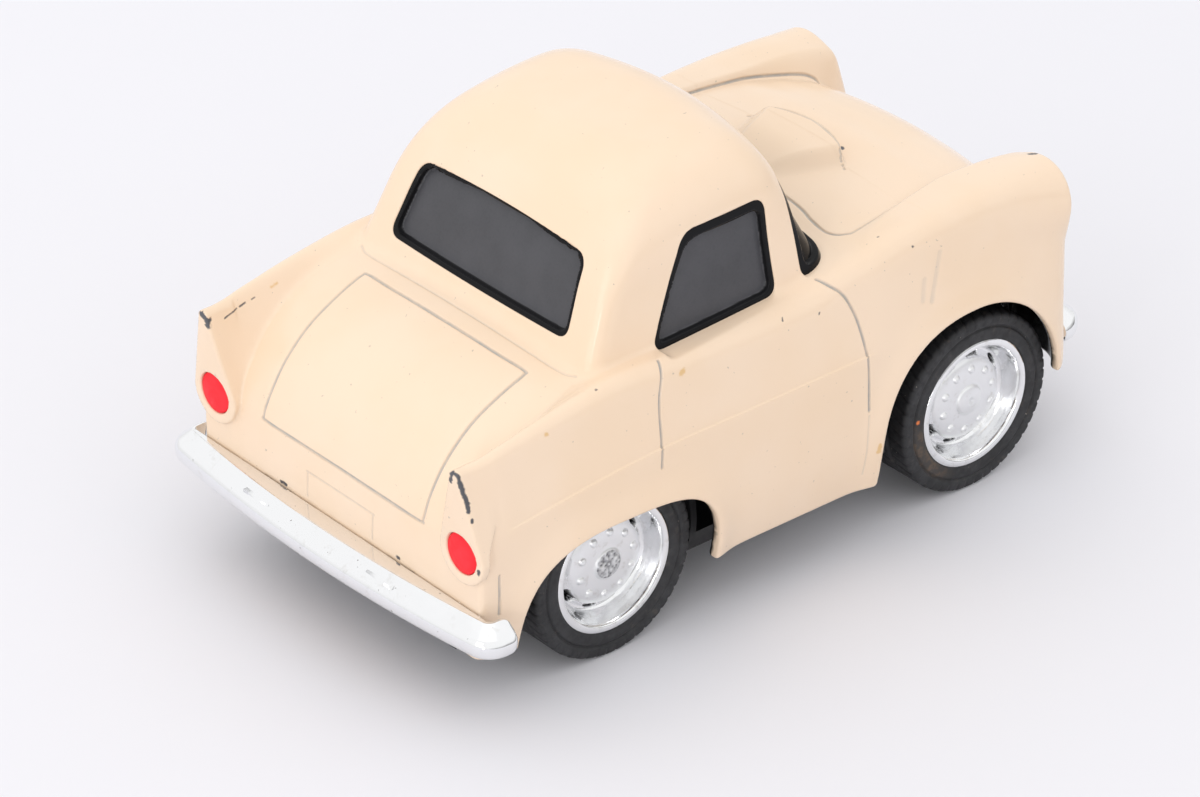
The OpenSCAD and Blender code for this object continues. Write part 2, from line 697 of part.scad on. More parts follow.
// A wheel's own axis is +Z, with its outer face at the top
module wheel() difference() {
    union() {
        rotate_extrude() polygon([for (p = rim_profile) [p[0], -p[1]]]);
        for (i = [0:rim_bosses - 1]) rotate(360 * i / rim_bosses)
            translate([boss_ring[0], 0, boss_ring[1]]) sphere(r = boss_r, $fn = 16);
    }
    for (i = [0:rim_slots - 1]) rotate(360 * (i + 0.5) / rim_slots)
        translate([slot_ring[0], 0, slot_ring[1]]) cube(slot, center = true);
}

module tyre() rotate_extrude($fn = 64) polygon([for (p = tyre_profile) [p[0], -p[1]]]);

module on_axle(x, side)
    translate([x, side * tyre_face_y, axle_z]) rotate([-90 * side, 0, 0]) children();

module wheel_front_left() color(chrome) on_axle(front_axle_x, 1) wheel();
module wheel_front_right() color(chrome) on_axle(front_axle_x, -1) wheel();
module wheel_rear_left() color(chrome) on_axle(rear_axle_x, 1) wheel();
module wheel_rear_right() color(chrome) on_axle(rear_axle_x, -1) wheel();
module tyre_front_left() color(rubber) on_axle(front_axle_x, 1) tyre();
module tyre_front_right() color(rubber) on_axle(front_axle_x, -1) tyre();
module tyre_rear_left() color(rubber) on_axle(rear_axle_x, 1) tyre();
module tyre_rear_right() color(rubber) on_axle(rear_axle_x, -1) tyre();

// Gear outline with involute flanks, its first tooth along +X
flank_steps = 4;
flank_foot = 0.02;
gear_side_gap = 0.2;
function involute(a) = tan(a) * 180 / PI - a;
function tooth_angle(r, rb, half, at) = half + involute(pressure_angle) - involute(acos(min(1, rb / at)));
function polar(r, a) = r * [cos(a), sin(a)];
function gear_outline(teeth) =
    let (r = teeth * gear_module / 2, rb = r * cos(pressure_angle), root = r - dedendum,
        tip = r + addendum, half = 90 / teeth - backlash / 4 / r * 180 / PI, foot = max(rb, root),
        low = foot + flank_foot, step = (tip - low) / flank_steps,
        foot_angle = tooth_angle(r, rb, half, foot))
    [for (i = [0:teeth - 1]) let (mid = 360 * i / teeth) each [
        polar(root, mid - foot_angle),
        for (at = [low:step:tip + step / 2]) polar(at, mid - tooth_angle(r, rb, half, at)),
        for (k = [flank_steps:-1:0])
            let (at = low + k * step) polar(at, mid + tooth_angle(r, rb, half, at)),
        polar(root, mid + foot_angle)
    ]];
idler_bearing = atan2(idler_rise, idler_pos[0] - rear_axle_x);
arbor_bearing = atan2(arbor_rise - idler_rise, arbor_pos[0] - idler_pos[0]);

module axle_pinion() color(gear_white) difference() {
    along_y(rear_axle_x, axle_z, axle_mesh_y[0] - gear_side_gap, axle_mesh_y[1] + gear_side_gap)
        rotate(idler_bearing) polygon(gear_outline(pinion_teeth));
    y_cylinder(rear_axle_x, axle_z, -2 * motor_y, 2 * motor_y, axle_r + press_gap);
}

module idler_gear() color(gear_white) difference() {
    union() {
        along_y(idler_pos[0], idler_pos[1], axle_mesh_y[0], axle_mesh_y[1])
            rotate(idler_bearing + 180 + 180 / idler_teeth) polygon(gear_outline(idler_teeth));
        along_y(idler_pos[0], idler_pos[1], arbor_mesh_y[0] - gear_side_gap, axle_mesh_y[0])
            rotate(arbor_bearing) polygon(gear_outline(pinion_teeth));
    }
    y_cylinder(idler_pos[0], idler_pos[1], -2 * motor_y, 2 * motor_y, pin_r + running_gap);
}

module spring_gear() color(gear_white) difference() {
    union() {
        along_y(arbor_pos[0], arbor_pos[1], arbor_mesh_y[0], arbor_mesh_y[1])
            rotate(arbor_bearing + 180 + 180 / spring_teeth) polygon(gear_outline(spring_teeth));
        y_cylinder(arbor_pos[0], arbor_pos[1], spring_y[0], arbor_mesh_y[0], arbor_r);
    }
    y_cylinder(arbor_pos[0], arbor_pos[1], -2 * motor_y, 2 * motor_y, pin_r + running_gap);
}

module motor_pin(at) color(steel)
    y_cylinder(at[0], at[1], -motor_y, motor_y - motor_wall / 2, pin_r);
module idler_pin() motor_pin(idler_pos);
module spring_arbor_pin() motor_pin(arbor_pos);

module mainspring() color(steel)
    along_y(arbor_pos[0], arbor_pos[1], spring_y[0], spring_y[1]) {
        steps = spring_steps * spring_turns;
        pitch = (spring_outer_r - spring_inner_r - spring_t) / spring_turns;
        polygon([
            for (i = [0:steps]) let (a = 360 * spring_turns * i / steps)
                polar(spring_inner_r + pitch * a / 360, a),
            for (i = [steps:-1:0]) let (a = 360 * spring_turns * i / steps)
                polar(spring_inner_r + spring_t + pitch * a / 360, a)
        ]);
    }

module motor_bores() {
    y_cylinder(rear_axle_x, axle_z, -2 * motor_y, 2 * motor_y, axle_r + running_gap);
    for (at = [idler_pos, arbor_pos])
        y_cylinder(at[0], at[1], -2 * motor_y, motor_y - motor_wall / 2, pin_r + press_gap);
}

module motor_case() color(motor_grey) difference() {
    translate([motor_rear_x, motor_wall - motor_y, floor_top])
        cube([motor_front_x - motor_rear_x, 2 * motor_y - motor_wall, motor_top - floor_top]);
    translate([motor_rear_x + motor_wall, -motor_y - 1, floor_top + motor_bottom_wall])
        cube([motor_front_x - motor_rear_x - 2 * motor_wall, 2 * motor_y + 1 - motor_wall,
            motor_top - motor_wall - floor_top - motor_bottom_wall]);
    motor_bores();
}

module motor_cover() color(motor_grey) difference() {
    translate([motor_rear_x, -motor_y, floor_top])
        cube([motor_front_x - motor_rear_x, motor_wall, motor_top - floor_top]);
    motor_bores();
}

body_shell();
window_insert();
chassis();
chassis_screws();
front_bumper();
rear_bumper();
grille();
headlamp_left();
headlamp_right();
tail_lamp_left();
tail_lamp_right();
front_axle();
rear_axle();
wheel_front_left();
wheel_front_right();
wheel_rear_left();
wheel_rear_right();
tyre_front_left();
tyre_front_right();
tyre_rear_left();
tyre_rear_right();
motor_case();
motor_cover();
axle_pinion();
idler_gear();
idler_pin();
spring_gear();
spring_arbor_pin();
mainspring();
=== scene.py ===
"""Looks of a pull-back die-cast toy coupe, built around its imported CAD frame."""
import math

import bpy
import numpy as np
from bpy.props import FloatProperty, FloatVectorProperty, PointerProperty
from mathutils import Matrix, Vector, kdtree


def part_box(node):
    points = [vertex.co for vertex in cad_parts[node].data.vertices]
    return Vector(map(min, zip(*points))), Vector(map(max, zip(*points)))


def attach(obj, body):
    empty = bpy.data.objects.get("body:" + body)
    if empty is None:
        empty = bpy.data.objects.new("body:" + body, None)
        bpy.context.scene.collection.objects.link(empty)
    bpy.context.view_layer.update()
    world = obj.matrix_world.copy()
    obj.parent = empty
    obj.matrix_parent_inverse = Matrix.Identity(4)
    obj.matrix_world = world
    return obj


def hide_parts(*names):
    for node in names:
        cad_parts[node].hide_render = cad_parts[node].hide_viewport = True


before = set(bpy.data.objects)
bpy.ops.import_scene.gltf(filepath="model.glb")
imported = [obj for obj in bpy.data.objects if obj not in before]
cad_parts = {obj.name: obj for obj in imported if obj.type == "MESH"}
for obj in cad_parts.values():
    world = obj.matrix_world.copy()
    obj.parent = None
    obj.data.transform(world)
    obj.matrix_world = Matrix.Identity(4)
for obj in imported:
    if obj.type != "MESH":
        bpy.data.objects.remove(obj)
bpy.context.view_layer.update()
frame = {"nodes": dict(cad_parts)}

bl_info = {
    "name": "Toy coupe",
    "version": (1, 0, 0),
    "blender": (4, 5, 0),
    "location": "View3D > Sidebar > Toy coupe",
    "description": "Builds the body, glazing, trim, wheels and stage of a pull-back toy coupe",
    "category": "Object",
}

MM = 0.001
TINY = 1e-9
ENDS, SIDES = ("front", "rear"), {"left": 1, "right": -1}


def box_mm(node):
    """Lowest and highest corner of a CAD node, in millimetres"""
    low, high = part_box(node)
    return np.array(low) / MM, np.array(high) / MM


# Places read from the frame, in millimetres
TYRE_LOW, TYRE_HIGH = box_mm("tyre_rear_left")
TYRE_R = (TYRE_HIGH[2] - TYRE_LOW[2]) / 2
TYRE_W = TYRE_HIGH[1] - TYRE_LOW[1]
TYRE_FACE = TYRE_HIGH[1]
AXLE_Z = TYRE_R
AXLE_X = {end: sum(box_mm(f"{end}_axle"))[0] / 2 for end in ENDS}
RIM_R = (box_mm("wheel_rear_left")[1][2] - box_mm("wheel_rear_left")[0][2]) / 2
TAIL_LAMP_LOW, TAIL_LAMP_HIGH = box_mm("tail_lamp_left")
TAIL_LAMP = (TAIL_LAMP_LOW + TAIL_LAMP_HIGH) / 2
TAIL_LAMP_R = (TAIL_LAMP_HIGH[2] - TAIL_LAMP_LOW[2]) / 2
HEADLAMP_LOW, HEADLAMP_HIGH = box_mm("headlamp_left")
HEADLAMP = (HEADLAMP_LOW + HEADLAMP_HIGH) / 2
# The lens is a little smaller than its solid, which leaves its pod a sound rim
LENS_INSET = 0.4
HEADLAMP_R = (HEADLAMP_HIGH[2] - HEADLAMP_LOW[2]) / 2 - LENS_INSET
GRILLE_LOW, GRILLE_HIGH = box_mm("grille")
GRILLE_MID = (GRILLE_LOW + GRILLE_HIGH) / 2
BUMPER_BOX = {end: box_mm(f"{end}_bumper") for end in ENDS}

# Body curves, as in the part's source: (station along the car, value)
TAIL_X, NOSE_X = -41.6, 41.4
FIN_RAKE_FROM, FIN_RAKE = 19.0, 0.12
SILL_Z, HIP_Z = 6.8, 14.5
SIDE_W = ((TAIL_X, 22.3), (-41.1, 22.5), (-39, 22.7), (-35, 22.9), (-29, 23.2), (-14, 23.4), (4, 23.4),
          (26, 23.3), (35, 23), (39, 22.6), (NOSE_X, 21.6))
CREST_Y = ((TAIL_X, 20.3), (-34, 20.6), (-23, 20.4), (-12, 20.2), (2, 19.5), (12, 18.7), (20, 18.4),
           (NOSE_X, 18))
CREST_Z = ((TAIL_X, 28.9), (-37, 30.0), (-31, 31.2), (-23, 32.3), (-13, 32.3), (2, 32.5), (9, 33.8),
           (16, 34.9), (23, 35.3), (31, 35.2), (36, 34.6), (39, 33.4), (NOSE_X, 30))
CREST_FLAT = ((TAIL_X, 0.4), (-30, 0.8), (-14, 1.5), (6, 2.2), (14, 2.8), (26, 3.2), (NOSE_X, 3.2))
VALLEY_Y = ((TAIL_X, 16.9), (-39.6, 17.2), (-37.9, 17.6), (-36, 18), (-34, 18.3), (-31.5, 18.4), (-28, 18.2),
            (-24, 17.8), (-20, 17.3), (6, 17), (12, 16.9), (19, 15.9), (25, 14.9), (31, 13.9), (35, 12.9),
            (NOSE_X, 12.2))
VALLEY_Z = ((TAIL_X, 16.2), (-41.1, 19.3), (-39.5, 22.6), (-37.5, 25.1), (-35, 27.2), (-32, 28.8),
            (-28.5, 30.2), (-25, 31), (-18, 31.4), (2, 32.2), (8, 33.6), (12, 34.2), (20, 34.5), (25, 34.4),
            (28, 33.9), (31, 33.3), (34, 32.3), (37, 30.1), (39, 27.9), (40.6, 24.4), (NOSE_X, 20))
CROWN_Z = ((TAIL_X, 0.2), (-38, 0.9), (-30, 1.3), (-20, 1.2), (8, 0.9), (NOSE_X, 0.9))
LOWER_Z = ((TAIL_X, 7.0), (-39.5, 6.3), (-36, 6.3), (-12, SILL_Z + 0.4), (12, SILL_Z + 0.4),
           (24, SILL_Z + 0.8), (34, 10.4), (NOSE_X, 11.4))
NOSE_BOW, BOW_FROM, BOW_HALF_Y = 1.9, 22.0, 21.0
WALL = 1.4
CREASE_Z = ((TAIL_X, 20.8), (-35, 21.8), (-28, 22.8), (-20, 23.5), (-8, 23.6), (NOSE_X, 23.7))
CREASE_STEP, CREASE_STEP_HALF, CREASE_FADE = 0.16, 0.09, ((-39.0, -35.0), (12.0, 8.0))
SILL_TUCK, CREASE_TUCK = 1.0, 0.2
VALLEY_ROUND, CREST_ROUND, CREASE_ROUND = 0.8, 1.1, 0.12
WING_RUN_LEAST, WING_LEAN_LEAST = 0.3, 0.2
SHOULDER_ROUND = ((TAIL_X, 0.9), (-36, 1.3), (-24, 2.0), (-8, 2.6), (NOSE_X, 2.6))
TAIL_ROUND, NOSE_ROUND, FOOT_ROUND, INNER_ROUND = 0.5, 1.8, 0.5, 0.2

# Cabin curves: (height, value)
CABIN_REAR = ((29, -26.2), (33, -24.4), (38, -22.2), (43, -20.1), (48, -18.2), (52, -16.6))
CABIN_FRONT = ((29, 11.4), (33, 9.9), (40, 7.4), (44, 5.9), (48, 4.6), (52, 3.4))
CABIN_HALF = ((29, 19.8), (33, 18.7), (38, 17.8), (43, 17.25), (48, 16.5), (52, 15.8))
CABIN_CORNER_Z = (36.0, 49.0)
REAR_CORNER, FRONT_CORNER = (2.0, 3.2), (3.2, 2.8)
REAR_BULGE, FRONT_BULGE, FRONT_BULGE_Z, SIDE_BULGE = 0.5, (1.4, 3.8), (32.0, 44.0), 0.2
ROOF_Z, ROOF_X, ROOF_CURVE_X, ROOF_CURVE_Y, ROOF_ROUND = 49.5, -3.5, 0.0107, 0.004, 6.8
CABIN_FOOT_ROUND, CABIN_REACH = 1.0, (16.0, 18.0)

# Window openings and the panes in them: corners across and up, or along and up, anticlockwise
REAR_WINDOW = ((-14, 33.7), (14, 33.7), (12.8, 41.5), (0, 42.5), (-12.8, 41.5))
SIDE_WINDOW = ((-16.5, 31.6), (0.2, 32.4), (-0.5, 43.1), (-11.2, 42.8))
WINDSCREEN = ((3.8, 32.6), (20, 32.6), (20, 44.2), (2.7, 44.2))
REAR_PANE = ((-13.5, 34.1), (13.5, 34.1), (12.3, 41.1), (0, 42.1), (-12.3, 41.1))
SIDE_PANE = ((-15.7, 32.2), (-0.4, 32.9), (-1.0, 42.0), (-10.8, 41.7))
FRONT_PANE = ((4.5, 33.6), (20, 33.6), (20, 43.5), (3.5, 43.5))
WINDOW_CORNER, PANE_CORNER, WINDOW_EDGE, FRONT_PANE_LIFT = 1.5, 1.3, 0.2, 0.7
REAR_WINDOW_X, SIDE_WINDOW_Y, DECK_EDGE = -12.0, 12.0, 0.3

# Wheel arches: middle along the car, half length, height of the springing, rise above it,
# and how square the curve is behind and ahead of the middle
FRONT_ARCH = (24.15, 13.05, 9.6, 14.2, 2.4, 2.0)
REAR_ARCH = (-24.0, 12.8, 7.0, 10.4, 2.6, 3.4)
ARCH_INNER_Y, ARCH_EDGE = 12.0, 0.4
LIP_RISE, LIP_WIDTH, LIP_FROM_Y, LIP_FROM_Z = 0.65, 2.1, 15.0, 7.0

# Headlamp pods, hood scoop, fin ends and bumper ledge
POD_FACE, POD_FACE_R = HEADLAMP * (0, 1, 1) + (HEADLAMP_HIGH[0] - 0.5, 0, 0), 4.3
POD_TAIL, POD_TAIL_R = POD_FACE + (-11.6, -0.9, 0.4), 3.4
POD_EDGE, POD_ROUND, POD_AHEAD = 0.7, 1.6, 0.2
SCOOP_FROM, SCOOP_TO, SCOOP_SWEEP = (9.0, 18.0), 22.3, 0.044
SCOOP_RISE, SCOOP_HALF, SCOOP_FLARE, SCOOP_SLOPE, SCOOP_EDGE = 1.6, 8.4, 0.4, 2.6, 0.2
FIN_END_X, FIN_END = TAIL_LAMP_LOW[0] + 0.1, TAIL_LAMP[1:]
FIN_TIP, FIN_TIP_R = np.array((20.1, 28.3)), 0.75
FIN_BOSS_R, FIN_ROUND, FIN_EDGE, FIN_ROOT, FIN_ROOT_RISE = 3.4, 0.3, 0.25, (0.6, 1.4), 4
LEDGE_Z, LEDGE_HALF_H, LEDGE_X, LEDGE_HALF_Y, LEDGE_ROUND, LEDGE_ROOT = 11.25, 1.05, -43.3, 22.0, 0.3, 1
BUMPER_BOW_R = 180.0
SLOT_X, SLOT_Y, SLOT_HALF = {"front": NOSE_X - 1, "rear": TAIL_X}, 10.0, (4.0, 2.1, 1.1)
POCKET_GAP, POCKET_EDGE, GRILLE_POCKET_X, PAST_CAR = 0.06, 0.15, 34, 60

# Glazing: gaps and depths below the cabin's surface, and how far a plug laps under the casting
GLAZING_GAP, GLAZING_WALL, GLAZING_FOOT, PLUG_LAP = 0.1, 1.2, 30.4, 0.45
FRAME_DEPTH, PANE_EDGE = 0.15, 0.1
PANE_DEPTH = {"rear": 0.7, "front": 0.5, "side": 0.6}


# Fields: each takes points in millimetres and gives a rough distance, negative inside
def keyed(keys, x):
    """Smooth curve through (station, value) keys"""
    keys = np.asarray(keys, float)
    at, value = keys[:, 0], keys[:, 1]
    slope = np.empty_like(value)
    slope[1:-1] = (value[2:] - value[:-2]) / (at[2:] - at[:-2])
    slope[0] = (value[1] - value[0]) / (at[1] - at[0])
    slope[-1] = (value[-1] - value[-2]) / (at[-1] - at[-2])
    i = np.clip(np.searchsorted(at, x) - 1, 0, len(at) - 2)
    gap = at[i + 1] - at[i]
    t = np.clip((x - at[i]) / gap, 0, 1)
    blend = t * t * (3 - 2 * t)
    bend = gap * t * (1 - t) * ((1 - t) * slope[i] - t * slope[i + 1])
    return value[i] * (1 - blend) + value[i + 1] * blend + bend


def smax(a, b, k):
    """The larger of two fields, with the corner between them rounded"""
    h = np.clip(0.5 + 0.5 * (a - b) / k, 0, 1)
    return b + (a - b) * h + k * h * (1 - h)


def smin(a, b, k):
    """The smaller of two fields, with the corner between them filled"""
    return -smax(-a, -b, k)


def smoothstep(low, high, x):
    """0 at low, 1 at high, with soft ends"""
    t = np.clip((x - low) / (high - low), 0, 1)
    return t * t * (3 - 2 * t)


def between(pair, share):
    """A value part of the way from the first of a pair to the second"""
    return pair[0] + (pair[1] - pair[0]) * share


def nose_bow(s, y):
    """How far the nose is swept back at a distance from the middle"""
    return NOSE_BOW * smoothstep(BOW_FROM, NOSE_X, s) * (y / BOW_HALF_Y) ** 2


def scoop_rise(x, y):
    """Low scoop on the hood that grows to the front and ends in a swept edge"""
    edge = SCOOP_TO - SCOOP_SWEEP * y ** 2
    half = SCOOP_HALF + SCOOP_FLARE * (x - SCOOP_TO)
    grown = smoothstep(*SCOOP_FROM, x) * smoothstep(half, half - SCOOP_SLOPE, y)
    return SCOOP_RISE * grown * smoothstep(edge + SCOOP_EDGE, edge - SCOOP_EDGE, x)


def deck_height(s, y):
    """Height of the deck, the hood and the wings' tops"""
    valley_y, valley_z = keyed(VALLEY_Y, s), keyed(VALLEY_Z, s)
    crest_z = keyed(CREST_Z, s)
    inner_y = keyed(CREST_Y, s) - keyed(CREST_FLAT, s)
    deck = valley_z + keyed(CROWN_Z, s) * (1 - (y / valley_y) ** 2)
    lean = np.maximum((crest_z - valley_z) / np.maximum(inner_y - valley_y, WING_RUN_LEAST), WING_LEAN_LEAST)
    wing = smin(valley_z + (y - valley_y) * lean, crest_z, CREST_ROUND)
    return smax(deck, wing, VALLEY_ROUND) + scoop_rise(s, y)


def flank_width(s, z):
    """Half width of the body's side at a height"""
    width = keyed(SIDE_W, s)
    low = width - SILL_TUCK * (np.minimum(z - HIP_Z, 0) / (HIP_Z - SILL_Z)) ** 2
    crease_z = keyed(CREASE_Z, s)
    low = low - CREASE_TUCK * (np.maximum(z - HIP_Z, 0) / (crease_z - HIP_Z)) ** 2
    shoulder_y = keyed(CREST_Y, s) + keyed(CREST_FLAT, s)
    lean = (shoulder_y - width + CREASE_TUCK) / (keyed(CREST_Z, s) - crease_z)
    step = smoothstep(-CREASE_STEP_HALF, CREASE_STEP_HALF, z - crease_z)
    step = step * smoothstep(*CREASE_FADE[0], s) * smoothstep(*CREASE_FADE[1], s)
    return smin(low, width - CREASE_TUCK + (z - crease_z) * lean, CREASE_ROUND) - CREASE_STEP * step


def slope_scale(height, s, v):
    """What a height field's vertical distance is divided by to be a true one"""
    nudge = 0.05
    here = height(s, v)
    along = (height(s + nudge, v) - here) / nudge
    across = (height(s, v + nudge) - here) / nudge
    return here, np.sqrt(1 + along ** 2 + across ** 2)


def lower_body(s, y, z):
    """Wings, hood, boot and sides"""
    top, top_scale = slope_scale(deck_height, s, y)
    side, side_scale = slope_scale(flank_width, s, z)
    body = smax((z - top) / top_scale, (y - side) / side_scale, keyed(SHOULDER_ROUND, s))
    body = smax(body, TAIL_X - s, TAIL_ROUND)
    return smax(body, s - NOSE_X, NOSE_ROUND)


def cabin_walls(x, y, z):
    """Rear, side and front walls that lean in as they rise, joined by round corners"""
    nudge = 0.2
    reach = (y / CABIN_REACH[1]) ** 2
    side = y - keyed(CABIN_HALF, z) + SIDE_BULGE * ((x - ROOF_X) / CABIN_REACH[0]) ** 2
    rear = keyed(CABIN_REAR, z) + REAR_BULGE * reach - x
    front = x - keyed(CABIN_FRONT, z) + between(FRONT_BULGE, smoothstep(*FRONT_BULGE_Z, z)) * reach
    walls = []
    for keys, wall in ((CABIN_HALF, side), (CABIN_REAR, rear), (CABIN_FRONT, front)):
        lean = (keyed(keys, z + nudge) - keyed(keys, z - nudge)) / (2 * nudge)
        walls.append(wall / np.sqrt(1 + lean ** 2))
    softness = smoothstep(*CABIN_CORNER_Z, z)
    sides = smax(walls[0], walls[1], between(REAR_CORNER, softness))
    return smax(sides, walls[2], between(FRONT_CORNER, softness))


def cabin(x, y, z):
    """Outside of the cabin, windows closed"""
    dx = x - ROOF_X
    crown = ROOF_Z - ROOF_CURVE_X * dx ** 2 - ROOF_CURVE_Y * y ** 2
    tilt = np.sqrt(1 + (2 * ROOF_CURVE_X * dx) ** 2 + (2 * ROOF_CURVE_Y * y) ** 2)
    return smax(cabin_walls(x, y, z), (z - crown) / tilt, ROOF_ROUND)


def outline(u, v, corners, corner_k):
    """Distance to a convex outline with round corners"""
    corners = np.asarray(corners, float)
    away = None
    for a, b in zip(corners, np.roll(corners, -1, 0)):
        edge = b - a
        side = ((u - a[0]) * edge[1] - (v - a[1]) * edge[0]) / np.hypot(*edge)
        away = side if away is None else smax(away, side, corner_k)
    return away


def window_prisms(x, y, z, rear, front, side, corner_k, above_deck=0.0):
    """Distances to the prisms behind the rear, front and side outlines"""
    return {
        "rear": np.maximum(outline(y, z, rear, corner_k), x - REAR_WINDOW_X),
        "front": smax(outline(x, z, front, corner_k), deck_height(x, y) + above_deck - z, DECK_EDGE),
        "side": np.maximum(outline(x, z, side, corner_k), SIDE_WINDOW_Y - y),
    }


def window_openings(x, y, z):
    """Distance to the nearest window opening"""
    prisms = window_prisms(x, y, z, REAR_WINDOW, WINDSCREEN, SIDE_WINDOW, WINDOW_CORNER)
    return np.minimum(np.minimum(prisms["rear"], prisms["front"]), prisms["side"])


def wheel_arch(x, z, arch):
    """Distance to a wheel arch's outline"""
    mid, half, foot, rise, square_behind, square_ahead = arch
    u = np.abs(x - mid) / half + TINY
    v = np.maximum(z - foot, 0) / rise + TINY
    n = np.where(x < mid, square_behind, square_ahead)
    rho = (u ** n + v ** n) ** (1 / n)
    return (rho - 1) / np.hypot((u / rho) ** (n - 1) / half, (v / rho) ** (n - 1) / rise)


def tapered(p, a, b, r_a, r_b):
    """Distance to a round bar from a to b whose radius runs from r_a to r_b"""
    axis = b - a
    t = np.clip((p - a) @ axis / (axis @ axis), 0, 1)
    return np.linalg.norm(p - a - t[:, None] * axis, axis=1) - between((r_a, r_b), t)


def headlamp_pod(p):
    """Round pod on the front of a wing"""
    ahead = POD_FACE + (POD_FACE - POD_TAIL) * POD_AHEAD
    r_ahead = POD_FACE_R + (POD_FACE_R - POD_TAIL_R) * POD_AHEAD
    return smax(tapered(p, POD_TAIL, ahead, POD_TAIL_R, r_ahead), p[:, 0] - POD_FACE[0], POD_EDGE)


def fin_end(x, y, z):
    """Teardrop end of a fin, raked back, which carries the tail lamp"""
    drop = tapered(np.stack((y, z), 1), FIN_END, FIN_TIP, FIN_BOSS_R, FIN_TIP_R)
    face = FIN_END_X - FIN_RAKE * np.maximum(z - FIN_RAKE_FROM, 0)
    behind = smoothstep(FIN_RAKE_FROM, FIN_RAKE_FROM + FIN_ROOT_RISE, z) * FIN_ROOT[1] + FIN_ROOT[0]
    return smax(drop, np.maximum(face - x, x - TAIL_X - behind), FIN_EDGE)


def bumper_ledge(x, y, z):
    """Shelf of the casting that the rear bumper sits against"""
    along = np.maximum(LEDGE_X + y ** 2 / (2 * BUMPER_BOW_R) - x, x - TAIL_X - LEDGE_ROOT)
    return np.maximum(np.maximum(np.abs(z - LEDGE_Z) - LEDGE_HALF_H, y - LEDGE_HALF_Y), along)


def casting_outside(p):
    """Outside of the casting, with its openings closed and its foot open"""
    x, y, z = p[:, 0], np.abs(p[:, 1]), p[:, 2]
    s = x
    for _ in range(3):
        s = x + nose_bow(s, y)
    half = np.stack((x, y, z), 1)
    body = smin(lower_body(s, y, z), headlamp_pod(half), POD_ROUND)
    body = smin(body, cabin(x, y, z), CABIN_FOOT_ROUND)
    body = smin(body, fin_end(x, y, z), FIN_ROUND)
    body = smin(body, bumper_ledge(x, y, z), LEDGE_ROUND)
    for arch in (FRONT_ARCH, REAR_ARCH):
        lip = np.exp(-(wheel_arch(x, z, arch) / LIP_WIDTH) ** 2)
        body = body - LIP_RISE * lip * (y > LIP_FROM_Y) * (z > LIP_FROM_Z)
    return body


def round_pocket(p, mid, r, x_from, x_to):
    """A pocket along the car for a lamp"""
    reach = np.maximum(x_from - p[:, 0], p[:, 0] - x_to)
    return np.maximum(np.hypot(np.abs(p[:, 1]) - mid[1], p[:, 2] - mid[2]) - r, reach)


def tab_slots(p, end):
    """Slots for a bumper's fixing tabs"""
    low, high = BUMPER_BOX[end]
    z = (low[2] + high[2]) / 2
    away = np.stack((p[:, 0] - SLOT_X[end], np.abs(p[:, 1]) - SLOT_Y, p[:, 2] - z), 1)
    return np.max(np.abs(away) - SLOT_HALF, 1)


def body_field(p):
    """The hollow casting"""
    x, y, z = p[:, 0], np.abs(p[:, 1]), p[:, 2]
    outside = casting_outside(p)
    body = smax(outside, -(outside + WALL), INNER_ROUND)
    body = smax(body, keyed(LOWER_Z, x) - z, FOOT_ROUND)
    body = smax(body, -window_openings(x, y, z), WINDOW_EDGE)
    for arch in (FRONT_ARCH, REAR_ARCH):
        body = smax(body, -np.maximum(wheel_arch(x, z, arch), ARCH_INNER_Y - y), ARCH_EDGE)
    gap = POCKET_GAP
    pockets = (round_pocket(p, TAIL_LAMP, TAIL_LAMP_R + gap, -PAST_CAR, TAIL_LAMP_HIGH[0] + gap),
               round_pocket(p, HEADLAMP, HEADLAMP_R + gap, HEADLAMP_LOW[0] - gap, PAST_CAR),
               np.maximum(grille_outline(p) - gap, GRILLE_POCKET_X - x),
               *[tab_slots(p, end) for end in ENDS])
    return smax(body, -np.min(pockets, 0), POCKET_EDGE)


def panes(p):
    """Distances to the outlines of the rear, front and side panes"""
    return window_prisms(p[:, 0], np.abs(p[:, 1]), p[:, 2], REAR_PANE, FRONT_PANE, SIDE_PANE, PANE_CORNER,
                         FRONT_PANE_LIFT)


def glazing_field(p):
    """Black moulding: a liner behind the casting and a plug with a sunk pane in each window"""
    x, y, z = p[:, 0], np.abs(p[:, 1]), p[:, 2]
    out = cabin(x, y, z)
    back = -(out + WALL + GLAZING_GAP + GLAZING_WALL)
    liner = np.maximum(out + WALL + GLAZING_GAP, back)
    plug = np.maximum(np.maximum(out + FRAME_DEPTH, window_openings(x, y, z) - PLUG_LAP), back)
    for name, away in panes(p).items():
        plug = smax(plug, -np.maximum(away, -(out + FRAME_DEPTH + PANE_DEPTH[name])), PANE_EDGE)
    return np.maximum(np.minimum(liner, plug), GLAZING_FOOT - z)


def grille_outline(p):
    """Stadium outline of the grille opening"""
    r = (GRILLE_HIGH[2] - GRILLE_LOW[2]) / 2
    reach = np.maximum(np.abs(p[:, 1]) - (GRILLE_HIGH[1] - r), 0)
    return np.hypot(reach, p[:, 2] - GRILLE_MID[2]) - r


# Meshing: surface nets on a grid, drawn onto the field and refined where it turns or carries detail
SLOPE_LEAST, TURN_LIMIT, SPLIT_OVER = 0.05, math.cos(math.radians(14)), 1.4
HASH_STEPS, HASH_SEED, HASH_SHIFT = np.array((73856093, 19349663, 83492791)), 2654435761, 13
HASH_MIX, HASH_MASK, HASH_HALF = 1274126177, 0xFFFFFF, 0x7FFFFF
